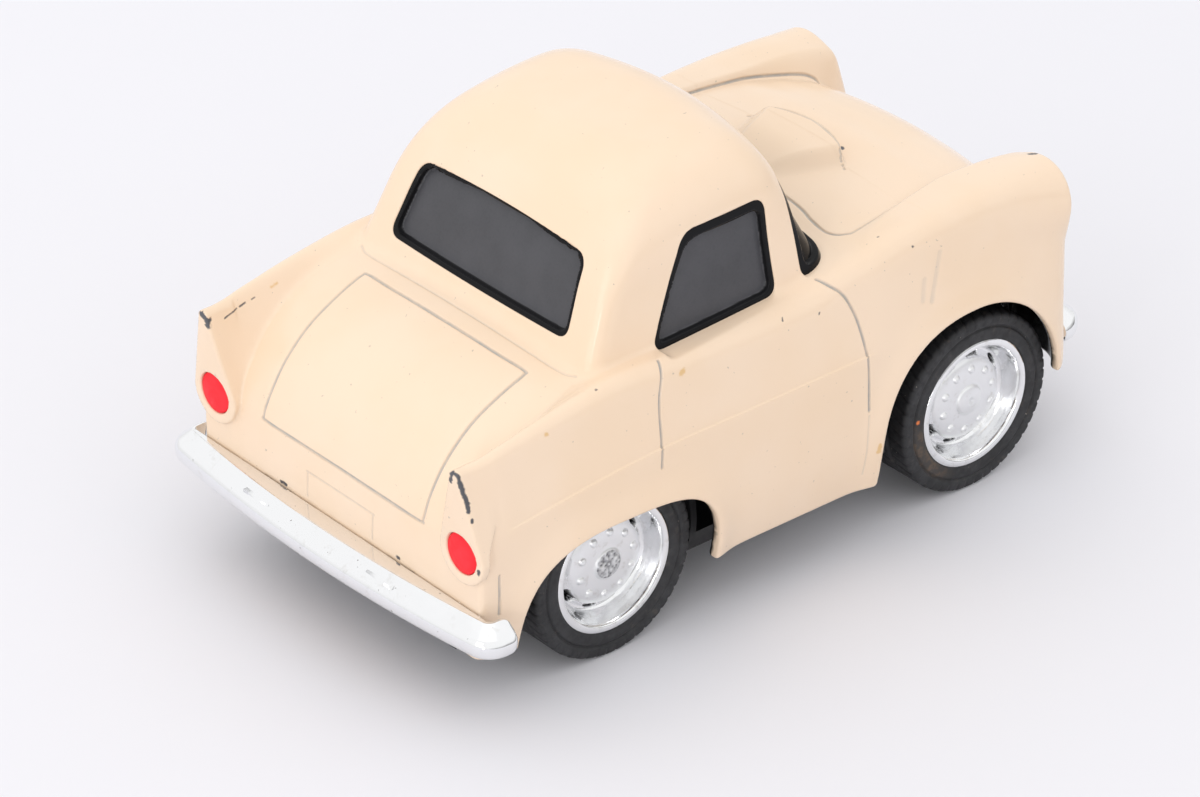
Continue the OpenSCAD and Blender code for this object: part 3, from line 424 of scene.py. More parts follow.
# Grids: cell and quick cell, shortest edge, rounds of splitting, lowest and highest corner
BODY_GRID = ((0.6, 1.0), 0.2, 3, (-45.5, -24.6, 5.6), (43, 24.6, 52.6))
GLAZING_GRID = ((0.5, 0.9), 0.12, 2, (-27.5, -20, 29.6), (12.5, 20, 51))
GRILLE_ROOM = 0.6
GRILLE_GRID = ((0.2, 0.3), 0.1, 1, GRILLE_LOW - GRILLE_ROOM, GRILLE_HIGH + GRILLE_ROOM)
# Edge lengths near detail: shortest, growth with distance, distance it starts from; and the longest
BODY_EDGES, GLAZING_EDGES, LONGEST_EDGE = (0.1, 0.55, 0.3), (0.14, 0.5, 0.25), 2.0


def surface_nets(values):
    """Points (in cells) and quads round every grid edge that changes sign"""
    inside = values < 0
    cells = np.array(values.shape) - 1
    total = np.zeros((*cells, 3))
    count = np.zeros(cells)
    for axis in range(3):
        first, second = [slice(None)] * 3, [slice(None)] * 3
        first[axis], second[axis] = slice(0, -1), slice(1, None)
        a, b = values[tuple(first)], values[tuple(second)]
        change = inside[tuple(first)] != inside[tuple(second)]
        share = np.where(change, a / np.where(change, a - b, 1), 0)
        u, v = [k for k in range(3) if k != axis]
        for du in (0, 1):
            for dv in (0, 1):
                part = [slice(None)] * 3
                part[u], part[v] = slice(du, du + cells[u]), slice(dv, dv + cells[v])
                crossed = change[tuple(part)]
                count += crossed
                total[..., axis] += share[tuple(part)]
                total[..., u] += crossed * du
                total[..., v] += crossed * dv
    used = count > 0
    index = np.full(cells, -1)
    index[used] = np.arange(used.sum())
    points = np.argwhere(used) + total[used] / count[used][:, None]
    quads = []
    for axis in range(3):
        u, v = (axis + 1) % 3, (axis + 2) % 3
        first, second = [slice(None)] * 3, [slice(None)] * 3
        first[axis], second[axis] = slice(0, -1), slice(1, None)
        at = np.argwhere(inside[tuple(first)] != inside[tuple(second)])
        at = at[(at[:, u] > 0) & (at[:, v] > 0) & (at[:, u] < cells[u]) & (at[:, v] < cells[v])]
        ring = []
        for du, dv in ((0, 0), (-1, 0), (-1, -1), (0, -1)):
            cell = at.copy()
            cell[:, u] += du
            cell[:, v] += dv
            ring.append(index[tuple(cell.T)])
        ring = np.stack(ring, 1)
        leaving = inside[tuple(at.T)]
        ring[~leaving] = ring[~leaving][:, ::-1]
        quads.append(ring)
    return points, np.concatenate(quads)


def in_chunks(field, p, size=200000):
    """A field over many points, a share at a time"""
    return np.concatenate([field(p[i:i + size]) for i in range(0, len(p), size)])


def drawn_on(field, p, rounds=3, most=0.5):
    """Points moved onto a field's surface, and its normals there"""
    corners = np.array(((1, 1, 1), (1, -1, -1), (-1, 1, -1), (-1, -1, 1)), float)
    nudge = 0.02
    for _ in range(rounds):
        samples = np.stack([in_chunks(field, p + nudge * c) for c in corners], 1)
        slope = samples @ corners / (4 * nudge)
        steep = np.maximum((slope ** 2).sum(1, keepdims=True), SLOPE_LEAST)
        step = samples.mean(1)[:, None] * slope / steep
        length = np.linalg.norm(step, axis=1, keepdims=True)
        p = p - step * np.minimum(1, most / np.maximum(length, TINY))
    return p, slope / np.linalg.norm(slope, axis=1, keepdims=True)


def split_edges(p, tris, wanted):
    """Triangles cut at the middle of each edge that wanted(a, b) names"""
    n = len(p)
    edges = np.sort(tris[:, [[0, 1], [1, 2], [2, 0]]], axis=2)
    keys, back = np.unique((edges[..., 0].astype(np.int64) * n + edges[..., 1]).ravel(), return_inverse=True)
    a, b = keys // n, keys % n
    cut = wanted(a, b)
    place = np.where(cut, n + np.cumsum(cut) - 1, -1)
    mid = place[back].reshape(-1, 3)
    count = (mid >= 0).sum(1)
    out = [tris[count == 0]]
    turn = np.where(count == 1, np.argmax(mid >= 0, 1), np.where(count == 2, (np.argmin(mid, 1) + 1) % 3, 0))
    order = (turn[:, None] + np.arange(3)) % 3
    v = np.take_along_axis(tris, order, 1)
    m = np.take_along_axis(mid, order, 1)
    for cuts, made in ((1, (("v0", "m0", "v2"), ("m0", "v1", "v2"))),
                       (2, (("m0", "v1", "m1"), ("v0", "m0", "m1"), ("v0", "m1", "v2"))),
                       (3, (("v0", "m0", "m2"), ("m0", "v1", "m1"), ("m2", "m1", "v2"), ("m0", "m1", "m2")))):
        rows = count == cuts
        pick = {f"v{i}": v[rows, i] for i in range(3)} | {f"m{i}": m[rows, i] for i in range(3)}
        out += [np.stack([pick[name] for name in corner], 1) for corner in made]
    return np.concatenate([p, (p[a[cut]] + p[b[cut]]) / 2]), np.concatenate(out)


def edge_size(away, edges):
    """Wanted edge length at a distance from detail"""
    shortest, growth, start = edges
    return np.clip(shortest + growth * (away - start), shortest, LONGEST_EDGE)


def field_mesh(field, grid, size_at=None, mirrored=False):
    """Triangles over a field's surface: fine where it turns sharply, or where size_at asks for it"""
    cells, finest, rounds, low, high = grid
    cell = cells[0]
    axes = [np.arange(low[k], high[k] + cell, cell) for k in range(3)]
    if mirrored:
        axes[1] = (np.arange(int(high[1] / cell) + 1) + 0.5) * cell
    places = np.stack(np.meshgrid(*axes, indexing="ij"), -1)
    values = in_chunks(field, places.reshape(-1, 3)).reshape(places.shape[:3])
    if mirrored:
        values = np.concatenate([values[:, ::-1], values], 1)
        axes[1] = np.concatenate([-axes[1][::-1], axes[1]])
    points, quads = surface_nets(values)
    points = points * cell + [axis[0] for axis in axes]
    points, normals = drawn_on(field, points)
    spans = np.linalg.norm(points[quads[:, [0, 1]]] - points[quads[:, [2, 3]]], axis=2)
    other = spans[:, 0] > spans[:, 1]
    tris = np.concatenate([np.where(other[:, None], quads[:, [0, 1, 3]], quads[:, [0, 1, 2]]),
                           np.where(other[:, None], quads[:, [1, 2, 3]], quads[:, [0, 2, 3]])])
    for _ in range(rounds):
        size = size_at(points) if size_at else np.full(len(points), cell * 2)

        def wanted(a, b):
            length = np.linalg.norm(points[a] - points[b], axis=1)
            turned = (normals[a] * normals[b]).sum(1) < TURN_LIMIT
            limit = np.minimum(size[a], size[b])
            return (length > limit * SPLIT_OVER) | (turned & (length > finest * SPLIT_OVER))

        known = len(points)
        points, tris = split_edges(points, tris, wanted)
        fresh, fresh_normals = drawn_on(field, points[known:], rounds=2)
        points = np.concatenate([points[:known], fresh])
        normals = np.concatenate([normals, fresh_normals])
    return points, tris, normals


def smooth_path(keys, step):
    """Points along a smooth curve through the keys"""
    keys = np.asarray(keys, float)
    padded = np.concatenate([[2 * keys[0] - keys[1]], keys, [2 * keys[-1] - keys[-2]]])
    made = []
    for a, b, c, d in zip(padded, padded[1:], padded[2:], padded[3:]):
        t = np.arange(0, 1, step / max(np.linalg.norm(c - b), step))[:, None]
        made.append(b + 0.5 * t * (c - a + t * (2 * a - 5 * b + 4 * c - d + t * (3 * (b - c) + d - a))))
    return np.concatenate([*made, keys[-1:]])


def value_noise(p, scale, seed):
    """Smooth noise from -1 to 1 over points, the same each run"""
    q = p / scale
    cell = np.floor(q).astype(np.int64)
    t = q - cell
    t = t * t * (3 - 2 * t)
    total = np.zeros(len(p))
    for corner in np.ndindex(2, 2, 2):
        u, v, w = ((cell + corner) * HASH_STEPS).T
        code = u ^ v ^ w ^ (seed * HASH_SEED)
        code = ((code ^ (code >> HASH_SHIFT)) * HASH_MIX) & HASH_MASK
        weight = np.prod(np.where(corner, t, 1 - t), axis=1)
        total += weight * (code / HASH_HALF - 1)
    return total


# Panel lines on the casting, one side of each pair, in millimetres: keys, width share and depth share
PANEL_LINES = (
    (((-28.15, 0, 31.5), (-28, 8, 31.3), (-27.75, 12.3, 31.1), (-28.2, 12.85, 30.9), (-30.5, 12.85, 29.9),
      (-33.7, 12.8, 28.4), (-36.3, 12.8, 26.5), (-38.4, 12.8, 24.4), (-40, 12.8, 21.9), (-41.2, 12.85, 19.3),
      (-41.3, 12.3, 18.85), (-41.35, 6, 18.85), (-41.35, 0, 18.9)), 1.0, 1.0),
    (((-26.1, 0, 32.2), (-25.95, 8, 32), (-25.5, 15, 31.3), (-24.8, 17, 31.2)), 0.8, 0.35),
    (((-41.8, 0, 17.35), (-41.8, 5.0, 17.35), (-41.8, 5.25, 17.1), (-41.8, 5.25, 13.4)), 0.8, 0.4),
    (((-39.35, 22.2, 16.6), (-39.35, 22.2, 12.2)), 1.0, 0.8),
    (((11.9, 0, 35), (11.3, 9, 34.8), (10.6, 12.3, 34.6), (10.3, 14.6, 34.6), (10.7, 15.8, 34.6),
      (11.6, 16.5, 34.6), (12.9, 16.7, 34.6), (19, 15.9, 34.7), (25, 14.8, 34.7), (29, 14.3, 34),
      (33, 13.5, 33.1), (35, 12.6, 32.2), (36.6, 11, 31.5), (38, 7, 30.5), (38.6, 0, 30)), 1.0, 1.0),
    (((22, 0, 37), (21.7, 2, 37), (20.95, 5, 37), (19.6, 7.6, 36.6)), 0.9, 0.6),
    (((-38, 22.6, 21.3), (-35, 22.7, 21.8), (-28, 23, 22.8), (-20, 23.2, 23.5), (-8, 23.2, 23.6),
      (9, 23.2, 23.65)), 1.0, 0.0),
    (((19.84, 21.8, 31.4), (18.3, 22.3, 26.5)), 2.0, 0.3),
    (((17.5, 22.05, 29.1), (17.1, 22.3, 27)), 2.0, 0.25),
    (((4.76, 19.6, 32.7), (5.5, 20.75, 32.2), (6.6, 21.4, 31.2), (7.5, 21.8, 29.7), (8.4, 22.2, 27.2),
      (9.16, 22.8, 23), (9.3, 23.2, 17.2)), 1.0, 1.0),
    (((9.3, 23.2, 16.6), (9.1, 23.2, 12), (8.9, 23, 9.6)), 0.7, 0.3),
    (((-17.3, 20.5, 31.7), (-18.35, 22.05, 28.5), (-18.6, 22.6, 24.2), (-18.8, 22.8, 21.3)), 1.0, 1.0),
)
# Places where the paint has worn to the metal: keys and half width
CHIPS = (
    (((-43.05, -19.6, 27.7), (-43.2, -20.05, 28.9), (-43.1, -20.9, 28.6), (-42.9, -21.8, 27.6),
      (-42.6, -22.3, 26.2), (-42.5, -22.5, 25.2)), 0.26),
    (((-42.3, -22.6, 24.2), (-42.3, -22.6, 24)), 0.15),
    (((-42, -22.6, 18.2), (-42, -22.6, 18)), 0.26),
    (((-43.1, 20.1, 28.6), (-43.1, 19.5, 28.2), (-43.1, 19.4, 27.6)), 0.42),
    (((-41, 19.45, 27.7), (-39.3, 19.4, 28.2)), 0.09),
    (((-38.9, 19.4, 28.3), (-38.2, 19.4, 28.5)), 0.08),
    (((-37.4, 19.35, 28.6), (-37, 19.35, 28.7)), 0.07),
    (((37.6, -17.4, 34.5), (37.2, -17, 34.5)), 0.3),
    (((-41.7, 9.6, 13.1), (-41.7, 8.7, 13.1)), 0.18),
    (((-41.7, -9.6, 13.2), (-41.7, -9.3, 13.2)), 0.18),
    (((22.2, -4.4, 35.4), (22.4, -4.1, 35.4)), 0.22),
    (((-1.4, -21.8, 31.2), (-1.3, -21.8, 31.6)), 0.1),
    (((3.3, -21.9, 30.2), (3.35, -21.9, 30.3)), 0.11),
    (((13.4, -19.3, 34.1), (13.5, -19.3, 34.1)), 0.12),
    (((16.3, -21.3, 33.1), (16.4, -21.3, 33.1)), 0.1),
    (((-25.4, -20.5, 31.5), (-25.3, -20.5, 31.5)), 0.1),
)
# Yellow stains in the paint: keys and half width
STAINS = (
    (((-34.9, 19.4, 29.1), (-34.2, 19.4, 29.3)), 0.14),
    (((-15.3, -22.2, 30.5), (-15, -22.2, 30.6)), 0.3),
    (((10.6, -22.8, 12.2), (10.7, -22.8, 12.8)), 0.26),
    (((-32.4, -21.4, 29.6), (-32.3, -21.4, 29.6)), 0.2),
)

# Wheel profiles: (radius, depth behind the tyre's outer face)
PIN_R = 0.002
RIM_FACE = ((PIN_R, 0.85), (0.8, 0.85), (1.5, 0.86), (1.68, 0.98), (1.85, 1.1), (3.2, 1.15), (4.2, 1.35),
            (4.7, 1.65), (4.95, 2.05), (5.3, 2.4), (5.7, 2.25), (6.05, 1.65), (6.3, 0.95), (6.47, 0.4),
            (6.62, 0.1), (6.85, 0), (7.15, 0), (RIM_R, 0.08))
RIM_BACK = ((RIM_R, 0.6), (6.85, 0.6), (6.85, 7.2), (6.25, 7.2), (6.25, 3.7), (2.2, 3.5), (2.2, 6.6),
            (PIN_R, 6.6))
WHEEL_STEP, WHEEL_COLUMNS = (0.07, 0.25), (384, 120)
DOMES, DOME_RING, DOME_R, DOME_RISE, DOME_PHASE = 10, 3.55, 0.43, 0.34, math.radians(12.6)
SLOTS, SLOT_RING, SLOT_HALF_R, SLOT_HALF_ARC, SLOT_PHASE = 8, 5.05, 0.36, 1.0, math.radians(32)
SLOT_FLOOR, SLOT_ROUND, SLOT_SOFT = 3.1, 0.4, 0.05
SATIN_R, SATIN_SOFT, HUB_SOFT = 4.8, 0.1, 0.1
# Depths past which the wheel is coloured near black as painted shade, within a radius: the slot floors stand
# for open slots
DEEP_FROM, DEEP_R = (2.6, 2.9), 6.2
HUB_R, HUB_DOME, DIMPLE_R, DIMPLE = 1.62, 0.3, 0.6, 0.22
HUB_GRAIN, HUB_GRAIN_SIZE, HUB_SEED = 0.1, 0.24, 7
# Tyre: bead as (radius over the rim, depth), shoulder, sidewall ring and tread
TYRE_BEAD, TYRE_SHOULDER = ((0.04, 0.6), (0.04, 0.14), (0.12, 0.04), (0.3, 0)), 0.55
TYRE_INNER_R, TYRE_INNER = 6.87, (0.6, 0.62)
WALL_RING_R, WALL_RING_HALF, WALL_RING_DEPTH = 8.85, 0.14, 0.2
WALL_STEP, OUTER_WALL_STEP, TREAD_STEP, RING_ROWS, SHOULDER_ROWS = 0.2, 0.15, 0.14, 13, 12
WALL_FROM, RING_ROOM, TREAD_FROM, EDGE_RUN, EDGE_IN, EDGE_BACK = 0.5, (0.3, 0.34, 0.5), 0.25, 0.6, 0.5, 0.6
TREAD_BLOCKS, BLOCK_COLUMNS, BLOCK_GAP, BLOCK_DEPTH = 48, 12, 0.2, 0.15
BLOCK_LEAN, BLOCK_SOFT, BLOCK_ENDS, BLOCK_LEAST = 0.03, (0.16, 0.1), (2.4, 1.6), 0.35
BLOCK_FADE = (0.45, 0.5)
TREAD_GROOVES, TREAD_GROOVE_HALF, TREAD_GROOVE_DEPTH, TREAD_SOFT = (2.7, 4.9), 0.3, 0.4, 0.1
# Marks on the front right tyre's outer side: a paint fleck and a dusty arc
MARKED_TYRE, MARK_DEPTH = ("front", "right"), 1
FLECK_AT, FLECK_R, FLECK_SOFT = (-8.32, 0.84), 0.3, 0.12
DUSTY_FROM, DUSTY_TO, DUSTY_SOFT = math.radians(182), math.radians(240), 0.25
DUSTY_INNER, DUSTY_OUTER = (7.3, 7.6), (9.2, 8.6)

# Bumper: wrapped ends and section, as shares of half its depth and half its height
BUMPER_WRAP_R, BUMPER_RETURN = {"front": 2.6, "rear": 1.8}, {"front": 0.6, "rear": 1.8}
BUMPER_WRAP, BUMPER_HALF_T, SECTION_STEP = math.radians(80), 1.1, 0.06
BOW_STEPS, WRAP_STEPS, TIP_STEPS, TIP_TAPER, TIP_POWER = 40, 26, 16, 0.99, 5
BUMPER_SECTION = ((-0.9, 1), (-0.78, 0.99), (-0.66, 0.93), (0.45, 0.33), (0.64, 0.22), (0.8, 0.08),
                  (0.95, -0.12), (1, -0.35), (0.97, -0.62), (0.86, -0.85), (0.6, -0.98), (-0.7, -1),
                  (-1, -0.85))
# Lip along the top of the rear bumper that reaches to the tail panel
BUMPER_LIP, LIP_GAP = ((-1, 0.7), (-1, 0.74), (-1, 0.96), (-0.98, 1), (-0.94, 1)), 0.22
BUMPER_TAB = (6.0, 4.0, 2.0)
# Grille: gap, pitch across and up, bars, frame, back plate and the depths over which painted shade darkens it
# toward the back plate
GRILLE_GAP, GRILLE_PITCH, GRILLE_BAR_HALF, GRILLE_FRAME = 0.02, (1.5, 1.3), 0.2, 0.5
GRILLE_PLATE, GRILLE_EDGE, GRILLE_DEEP = 0.4, 0.15, (0.9, 0.45)
# Lamps: how far the edge lies behind the front, bulge of the face, ribs of the lens and the face's curve
LENS_DROP, LENS_BULGE, LENS_RIBS, RIB_PITCH, RIB_REACH = 0.7, 0.66, 0.03, 0.8, 0.86
DISC_DROP, DISC_BULGE = 0.22, 0.2
LAMP_ROWS, LAMP_FACE, LAMP_CURVE, LAMP_RIM = 40, 0.94, 2.6, ((1, 0.12), (0.99, 0.03))
# Lines and wear: steps along them, reaches, ragged edges and depth of a chip; also the depths below the
# outside over which the inner faces take painted shade, and the soft edge of the panes' painted reflection
LINE_STEP, WEAR_STEP, DRAW_ROUNDS, DRAW_MOST = 0.07, 0.06, 4, 2
DETAIL_REACH, LINE_REACH, WEAR_REACH, OUTER_SKIN, WINDOW_DETAIL = 1.6, 1.5, 1.2, 0.3, 0.1
RAG_FINE, RAG_COARSE, RAG_SHARE = (0.22, 3), (0.6, 4), 0.7
CHIP_SOFT, STAIN_SOFT, CHIP_DEPTH, INSIDE_SHADE_FROM, PANE_SOFT = 0.05, 0.12, 0.03, (-0.75, -1.0), (0.02, -0.1)

# Tones that the settings don't hold
WARM_PATCH = (0.985, 0.965, 0.93)
# The inside tone is painted shade: near black on the casting's inner faces, standing for the dark seen behind
# the arches and openings
SPECK_TONE, STAIN_TONE, INSIDE_SHADE_TONE = (0.35, 0.31, 0.26), (0.72, 0.42, 0.1), (0.012, 0.012, 0.012)
PIT_TONE, PLATE_DUST, WHEEL_DUST = (0.30, 0.29, 0.28), (0.66, 0.64, 0.61), (0.6, 0.58, 0.55)
# The deep tone is painted shade: near black on the wheel slots' floors and in the grille's depths
# The grain tone is painted shade: the grained hub is coloured darker, most where its grain is sunk deepest
GRAIN_SHADE_TONE, DEEP_SHADE_TONE = (0.16, 0.16, 0.17), (0.01, 0.01, 0.011)
GRIT_TONE, DUSTY_TONE, FLECK_TONE = (0.45, 0.4, 0.35), (0.12, 0.085, 0.06), (0.75, 0.2, 0.05)
STAIN_STRENGTH, CHIP_METAL, WORN_ROUGHNESS = 0.6, 0.55, 0.42
FRAME_ROUGHNESS, SATIN_ROUGHNESS, FRAME_AND_PANE_SHINE = 0.14, 0.4, (0.12, 0.5)

# Stage, in metres: softboxes as size and place, and the room light near the floor and on the dim side
FLOOR_REACH = 4.0
SOFTBOXES = {"key": ((0.45, 0.45), (-0.94, -0.15, 0.5)), "top": ((1.5, 1.5), (0.0, 0.1, 1.2)),
             "strip": ((0.07, 0.35), (-1.0, -0.53, 0.2))}
LOW_LIGHT, DIM_LIGHT, DIM_SIDE, DIM_FROM, LIGHT_RISES = 0.85, 0.2, (0.5, -0.87, 0), (0.3, 0.7), (0.02, 0.3)
SENSOR_MM, CAMERA_CLIP = 36, (0.01, 50)
CAMERA_RIGHT, CAMERA_UP, CAMERA_ALONG = -6.61, 9.16, 1.8


# Pieces and finishes
def shown(name, points, faces, finish, body, nodes=(), shares=None):
    """A mesh from millimetre points, riding on a body in place of CAD nodes"""
    mesh = bpy.data.meshes.new(name)
    mesh.vertices.add(len(points))
    mesh.vertices.foreach_set("co", (np.asarray(points) * MM).astype(np.float32).ravel())
    corners = faces.shape[1]
    mesh.loops.add(faces.size)
    mesh.loops.foreach_set("vertex_index", faces.astype(np.int32).ravel())
    mesh.polygons.add(len(faces))
    mesh.polygons.foreach_set("loop_start", np.arange(0, faces.size, corners, dtype=np.int32))
    mesh.polygons.foreach_set("use_smooth", np.ones(len(faces), bool))
    mesh.update(calc_edges=True)
    for share, values in (shares or {}).items():
        data = mesh.attributes.new(share, "FLOAT", "POINT").data
        data.foreach_set("value", np.asarray(values, np.float32))
    mesh.materials.append(finish)
    obj = bpy.data.objects.new(name, mesh)
    bpy.context.scene.collection.objects.link(obj)
    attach(obj, body)
    if nodes:
        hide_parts(*nodes)
    return obj


def facing_out(points, faces):
    """Faces turned so that their normals point outward"""
    a, b, c = (points[faces[:, k]] for k in range(3))
    volume = np.einsum("ij,ij->i", a, np.cross(b, c)).sum()
    if faces.shape[1] == 4:
        d = points[faces[:, 3]]
        volume += np.einsum("ij,ij->i", a, np.cross(c, d)).sum()
    return faces if volume > 0 else faces[:, ::-1]


def rings_to_quads(rings, columns, closed_rows, closed_columns=True):
    """Quads over a grid of rings"""
    row = np.arange(rings if closed_rows else rings - 1)
    col = np.arange(columns if closed_columns else columns - 1)
    r, c = np.meshgrid(row, col, indexing="ij")
    up, on = (r + 1) % rings, (c + 1) % columns
    quads = [r * columns + c, r * columns + on, up * columns + on, up * columns + c]
    return np.stack(quads, -1).reshape(-1, 4)


class Nodes:
    """A node tree, filled from its output backwards"""

    def __init__(self, tree):
        self.tree = tree

    def fill(self, node, sockets):
        for key, value in sockets.items():
            if isinstance(value, bpy.types.NodeSocket):
                self.tree.links.new(value, node.inputs[key])
            else:
                node.inputs[key].default_value = value

    def add(self, kind, sockets, output=0, **settings):
        node = self.tree.nodes.new(f"ShaderNode{kind}")
        for key, value in settings.items():
            setattr(node, key, value)
        self.fill(node, sockets)
        return node.outputs[output]


class Finish(Nodes):
    """A node material round one shader"""

    def __init__(self, name, sockets):
        self.material = bpy.data.materials.new(name)
        self.material.use_nodes = True
        super().__init__(self.material.node_tree)
        self.shader = self.tree.nodes["Principled BSDF"]
        self.fill(self.shader, sockets)

    def shade(self, sockets):
        self.fill(self.shader, sockets)
        return self.material

    def noise(self, size_mm, detail=3.0, roughness=0.55):
        place = self.add("TexCoord", {}, "Object")
        sockets = {"Vector": place, "Scale": 1 / (size_mm * MM), "Detail": detail, "Roughness": roughness}
        return self.add("TexNoise", sockets)

    def ramp(self, value, low, high, to_low=0.0, to_high=1.0):
        sockets = {"Value": value, "From Min": low, "From Max": high, "To Min": to_low, "To Max": to_high}
        return self.add("MapRange", sockets, interpolation_type="SMOOTHSTEP")

    def cloud(self, size_mm, low, high, to_low=0.0, to_high=1.0, detail=3.0, roughness=0.55):
        return self.ramp(self.noise(size_mm, detail, roughness), low, high, to_low, to_high)

    def share(self, name):
        return self.add("Attribute", {}, "Fac", attribute_name=name)

    def times(self, a, b):
        return self.add("Math", {0: a, 1: b}, operation="MULTIPLY")

    def most(self, a, b):
        return self.add("Math", {0: a, 1: b}, operation="MAXIMUM")

    def mix(self, share, a, b):
        return self.add("Mix", {0: share, 6: rgba(a), 7: rgba(b)}, 2, data_type="RGBA")

    def grain(self, size_mm, depth_mm, strength, detail=2.0):
        height = self.noise(size_mm, detail)
        return self.add("Bump", {"Height": height, "Distance": depth_mm * MM, "Strength": strength})


def rgba(colour):
    """A colour with its alpha, or a socket as it is"""
    return colour if isinstance(colour, bpy.types.NodeSocket) else (*colour[:3], 1.0)


def lighter(colour, times):
    """A colour made lighter or darker"""
    return tuple(c * times for c in colour)


def enamel(body):
    """Glossy cream enamel with panel lines, chips to the metal and faint grime, and painted shade: its inner
    faces near black
    """
    f = Finish("cream_enamel", {"IOR": 1.48})
    warm = tuple(c * k for c, k in zip(body.paint, WARM_PATCH))
    tone = f.mix(f.cloud(14, 0.35, 0.7), body.paint, warm)
    tone = f.mix(f.cloud(0.55, 0.735, 0.76, 0, 0.45, detail=2.0), tone, SPECK_TONE)
    tone = f.mix(f.times(f.share("line"), f.cloud(1.6, 0.3, 0.7, 0.62, 0.95)), tone, body.grime)
    tone = f.mix(f.times(f.share("stain"), STAIN_STRENGTH), tone, STAIN_TONE)
    chip = f.share("chip")
    tone = f.mix(chip, tone, body.metal)
    # Painted shade: the casting's inner faces are coloured near black
    tone = f.mix(f.share("inside"), tone, INSIDE_SHADE_TONE)
    dull = f.times(f.most(chip, f.share("line")), WORN_ROUGHNESS)
    return f.shade({"Base Color": tone, "Roughness": f.most(f.cloud(3.5, 0.35, 0.75, 0.15, 0.24), dull),
                    "Metallic": f.times(chip, CHIP_METAL), "Normal": f.grain(0.9, 0.006, 0.5)})


def black_glazing(glazing):
    """Gloss black frames round matt dark grey panes; the panes' grey is a painted reflection of the bright
    room, and the windscreen is left black
    """
    f = Finish("black_glazing", {"IOR": 1.5})
    pane = f.share("pane")
    # Painted reflection: the pane colour stands for the bright room reflected in the dark glazing
    matt = f.mix(f.cloud(5, 0.3, 0.7), glazing.pane, lighter(glazing.pane, 1.2))
    dull = f.times(pane, f.cloud(0.3, 0.4, 0.75, 0.48, 0.6, detail=2.0))
    return f.shade({"Base Color": f.mix(pane, glazing.frame, matt),
                    "Roughness": f.most(dull, FRAME_ROUGHNESS),
                    "Specular IOR Level": f.ramp(pane, 0, 1, *FRAME_AND_PANE_SHINE),
                    "Normal": f.grain(0.25, 0.004, 0.4)})


def bright_plate(trim):
    """Bright plating with faint haze, pits and dust"""
    f = Finish("bright_plate", {"Metallic": 1.0})
    tone = f.mix(f.cloud(0.5, 0.72, 0.76, detail=2.0), trim.plate, PIT_TONE)
    dust = f.cloud(2.2, 0.58, 0.74, 0, 0.35, detail=4.0, roughness=0.65)
    return f.shade({"Base Color": f.mix(dust, tone, PLATE_DUST),
                    "Roughness": f.cloud(1.7, 0.35, 0.75, 0.06, 0.2, detail=4.0),
                    "Normal": f.grain(1.1, 0.02, 0.35, detail=3.0)})


def wheel_plate(trim):
    """Plated wheel: bright lip and dish, satin middle, with painted shade in the hub's grained pits, the slot
    floors and the grille's depths
    """
    f = Finish("wheel_plate", {"Metallic": 1.0})
    haze = f.cloud(0.8, 0.35, 0.75, 0.1, 0.24, detail=4.0)
    dust = f.cloud(1.3, 0.55, 0.75, 0, 0.5, detail=4.0, roughness=0.65)
    # Painted shade: the grained hub is coloured darker, most where its grain is sunk deepest
    tone = f.mix(f.share("grain"), f.mix(dust, trim.plate, WHEEL_DUST), GRAIN_SHADE_TONE)
    # Painted shade: near black where the wheel's slots and the grille's depths are deepest
    return f.shade({"Base Color": f.mix(f.share("deep"), tone, DEEP_SHADE_TONE),
                    "Roughness": f.most(haze, f.times(f.share("satin"), SATIN_ROUGHNESS)),
                    "Normal": f.grain(0.35, 0.012, 0.5)})


def rubber(wheels):
    """Charcoal rubber, dusty on its edges"""
    f = Finish("charcoal_rubber", {"IOR": 1.5})
    tone = f.mix(f.cloud(2.5, 0.35, 0.75, detail=4.0), wheels.rubber, lighter(wheels.rubber, 1.5))
    tone = f.mix(f.cloud(1.1, 0.56, 0.74, 0, 0.42, detail=5.0, roughness=0.7), tone, wheels.dust)
    tone = f.mix(f.cloud(0.4, 0.74, 0.78, 0, 0.7, detail=2.0), tone, GRIT_TONE)
    dusty = f.times(f.share("dusty"), f.cloud(0.9, 0.4, 0.65, 0.2, 0.9, detail=4.0))
    tone = f.mix(f.share("fleck"), f.mix(dusty, tone, DUSTY_TONE), FLECK_TONE)
    return f.shade({"Base Color": tone, "Roughness": f.cloud(0.9, 0.3, 0.7, 0.55, 0.75),
                    "Normal": f.grain(0.3, 0.02, 0.5, detail=3.0)})


def moulded(name, colour, gloss, grain_mm=0.4, metal=0.0, shine=0.5):
    """A plain moulded or turned piece with a slightly uneven surface"""
    f = Finish(name, {"IOR": 1.5, "Metallic": metal, "Specular IOR Level": shine})
    light = tuple(min(1.0, c * 1.25 + 0.004) for c in colour)
    return f.shade({"Base Color": f.mix(f.cloud(3.0, 0.35, 0.7), colour, light),
                    "Roughness": f.cloud(1.2, 0.3, 0.7, gloss * 0.85, gloss * 1.15),
                    "Normal": f.grain(grain_mm, 0.008, 0.5)})


def studio_floor(stage):
    """A pale matt floor"""
    f = Finish("studio_floor", {"Specular IOR Level": 0.2})
    pale = tuple(min(1, c * 1.02) for c in stage.floor)
    return f.shade({"Base Color": f.mix(f.noise(60), stage.floor, pale), "Roughness": 0.7})


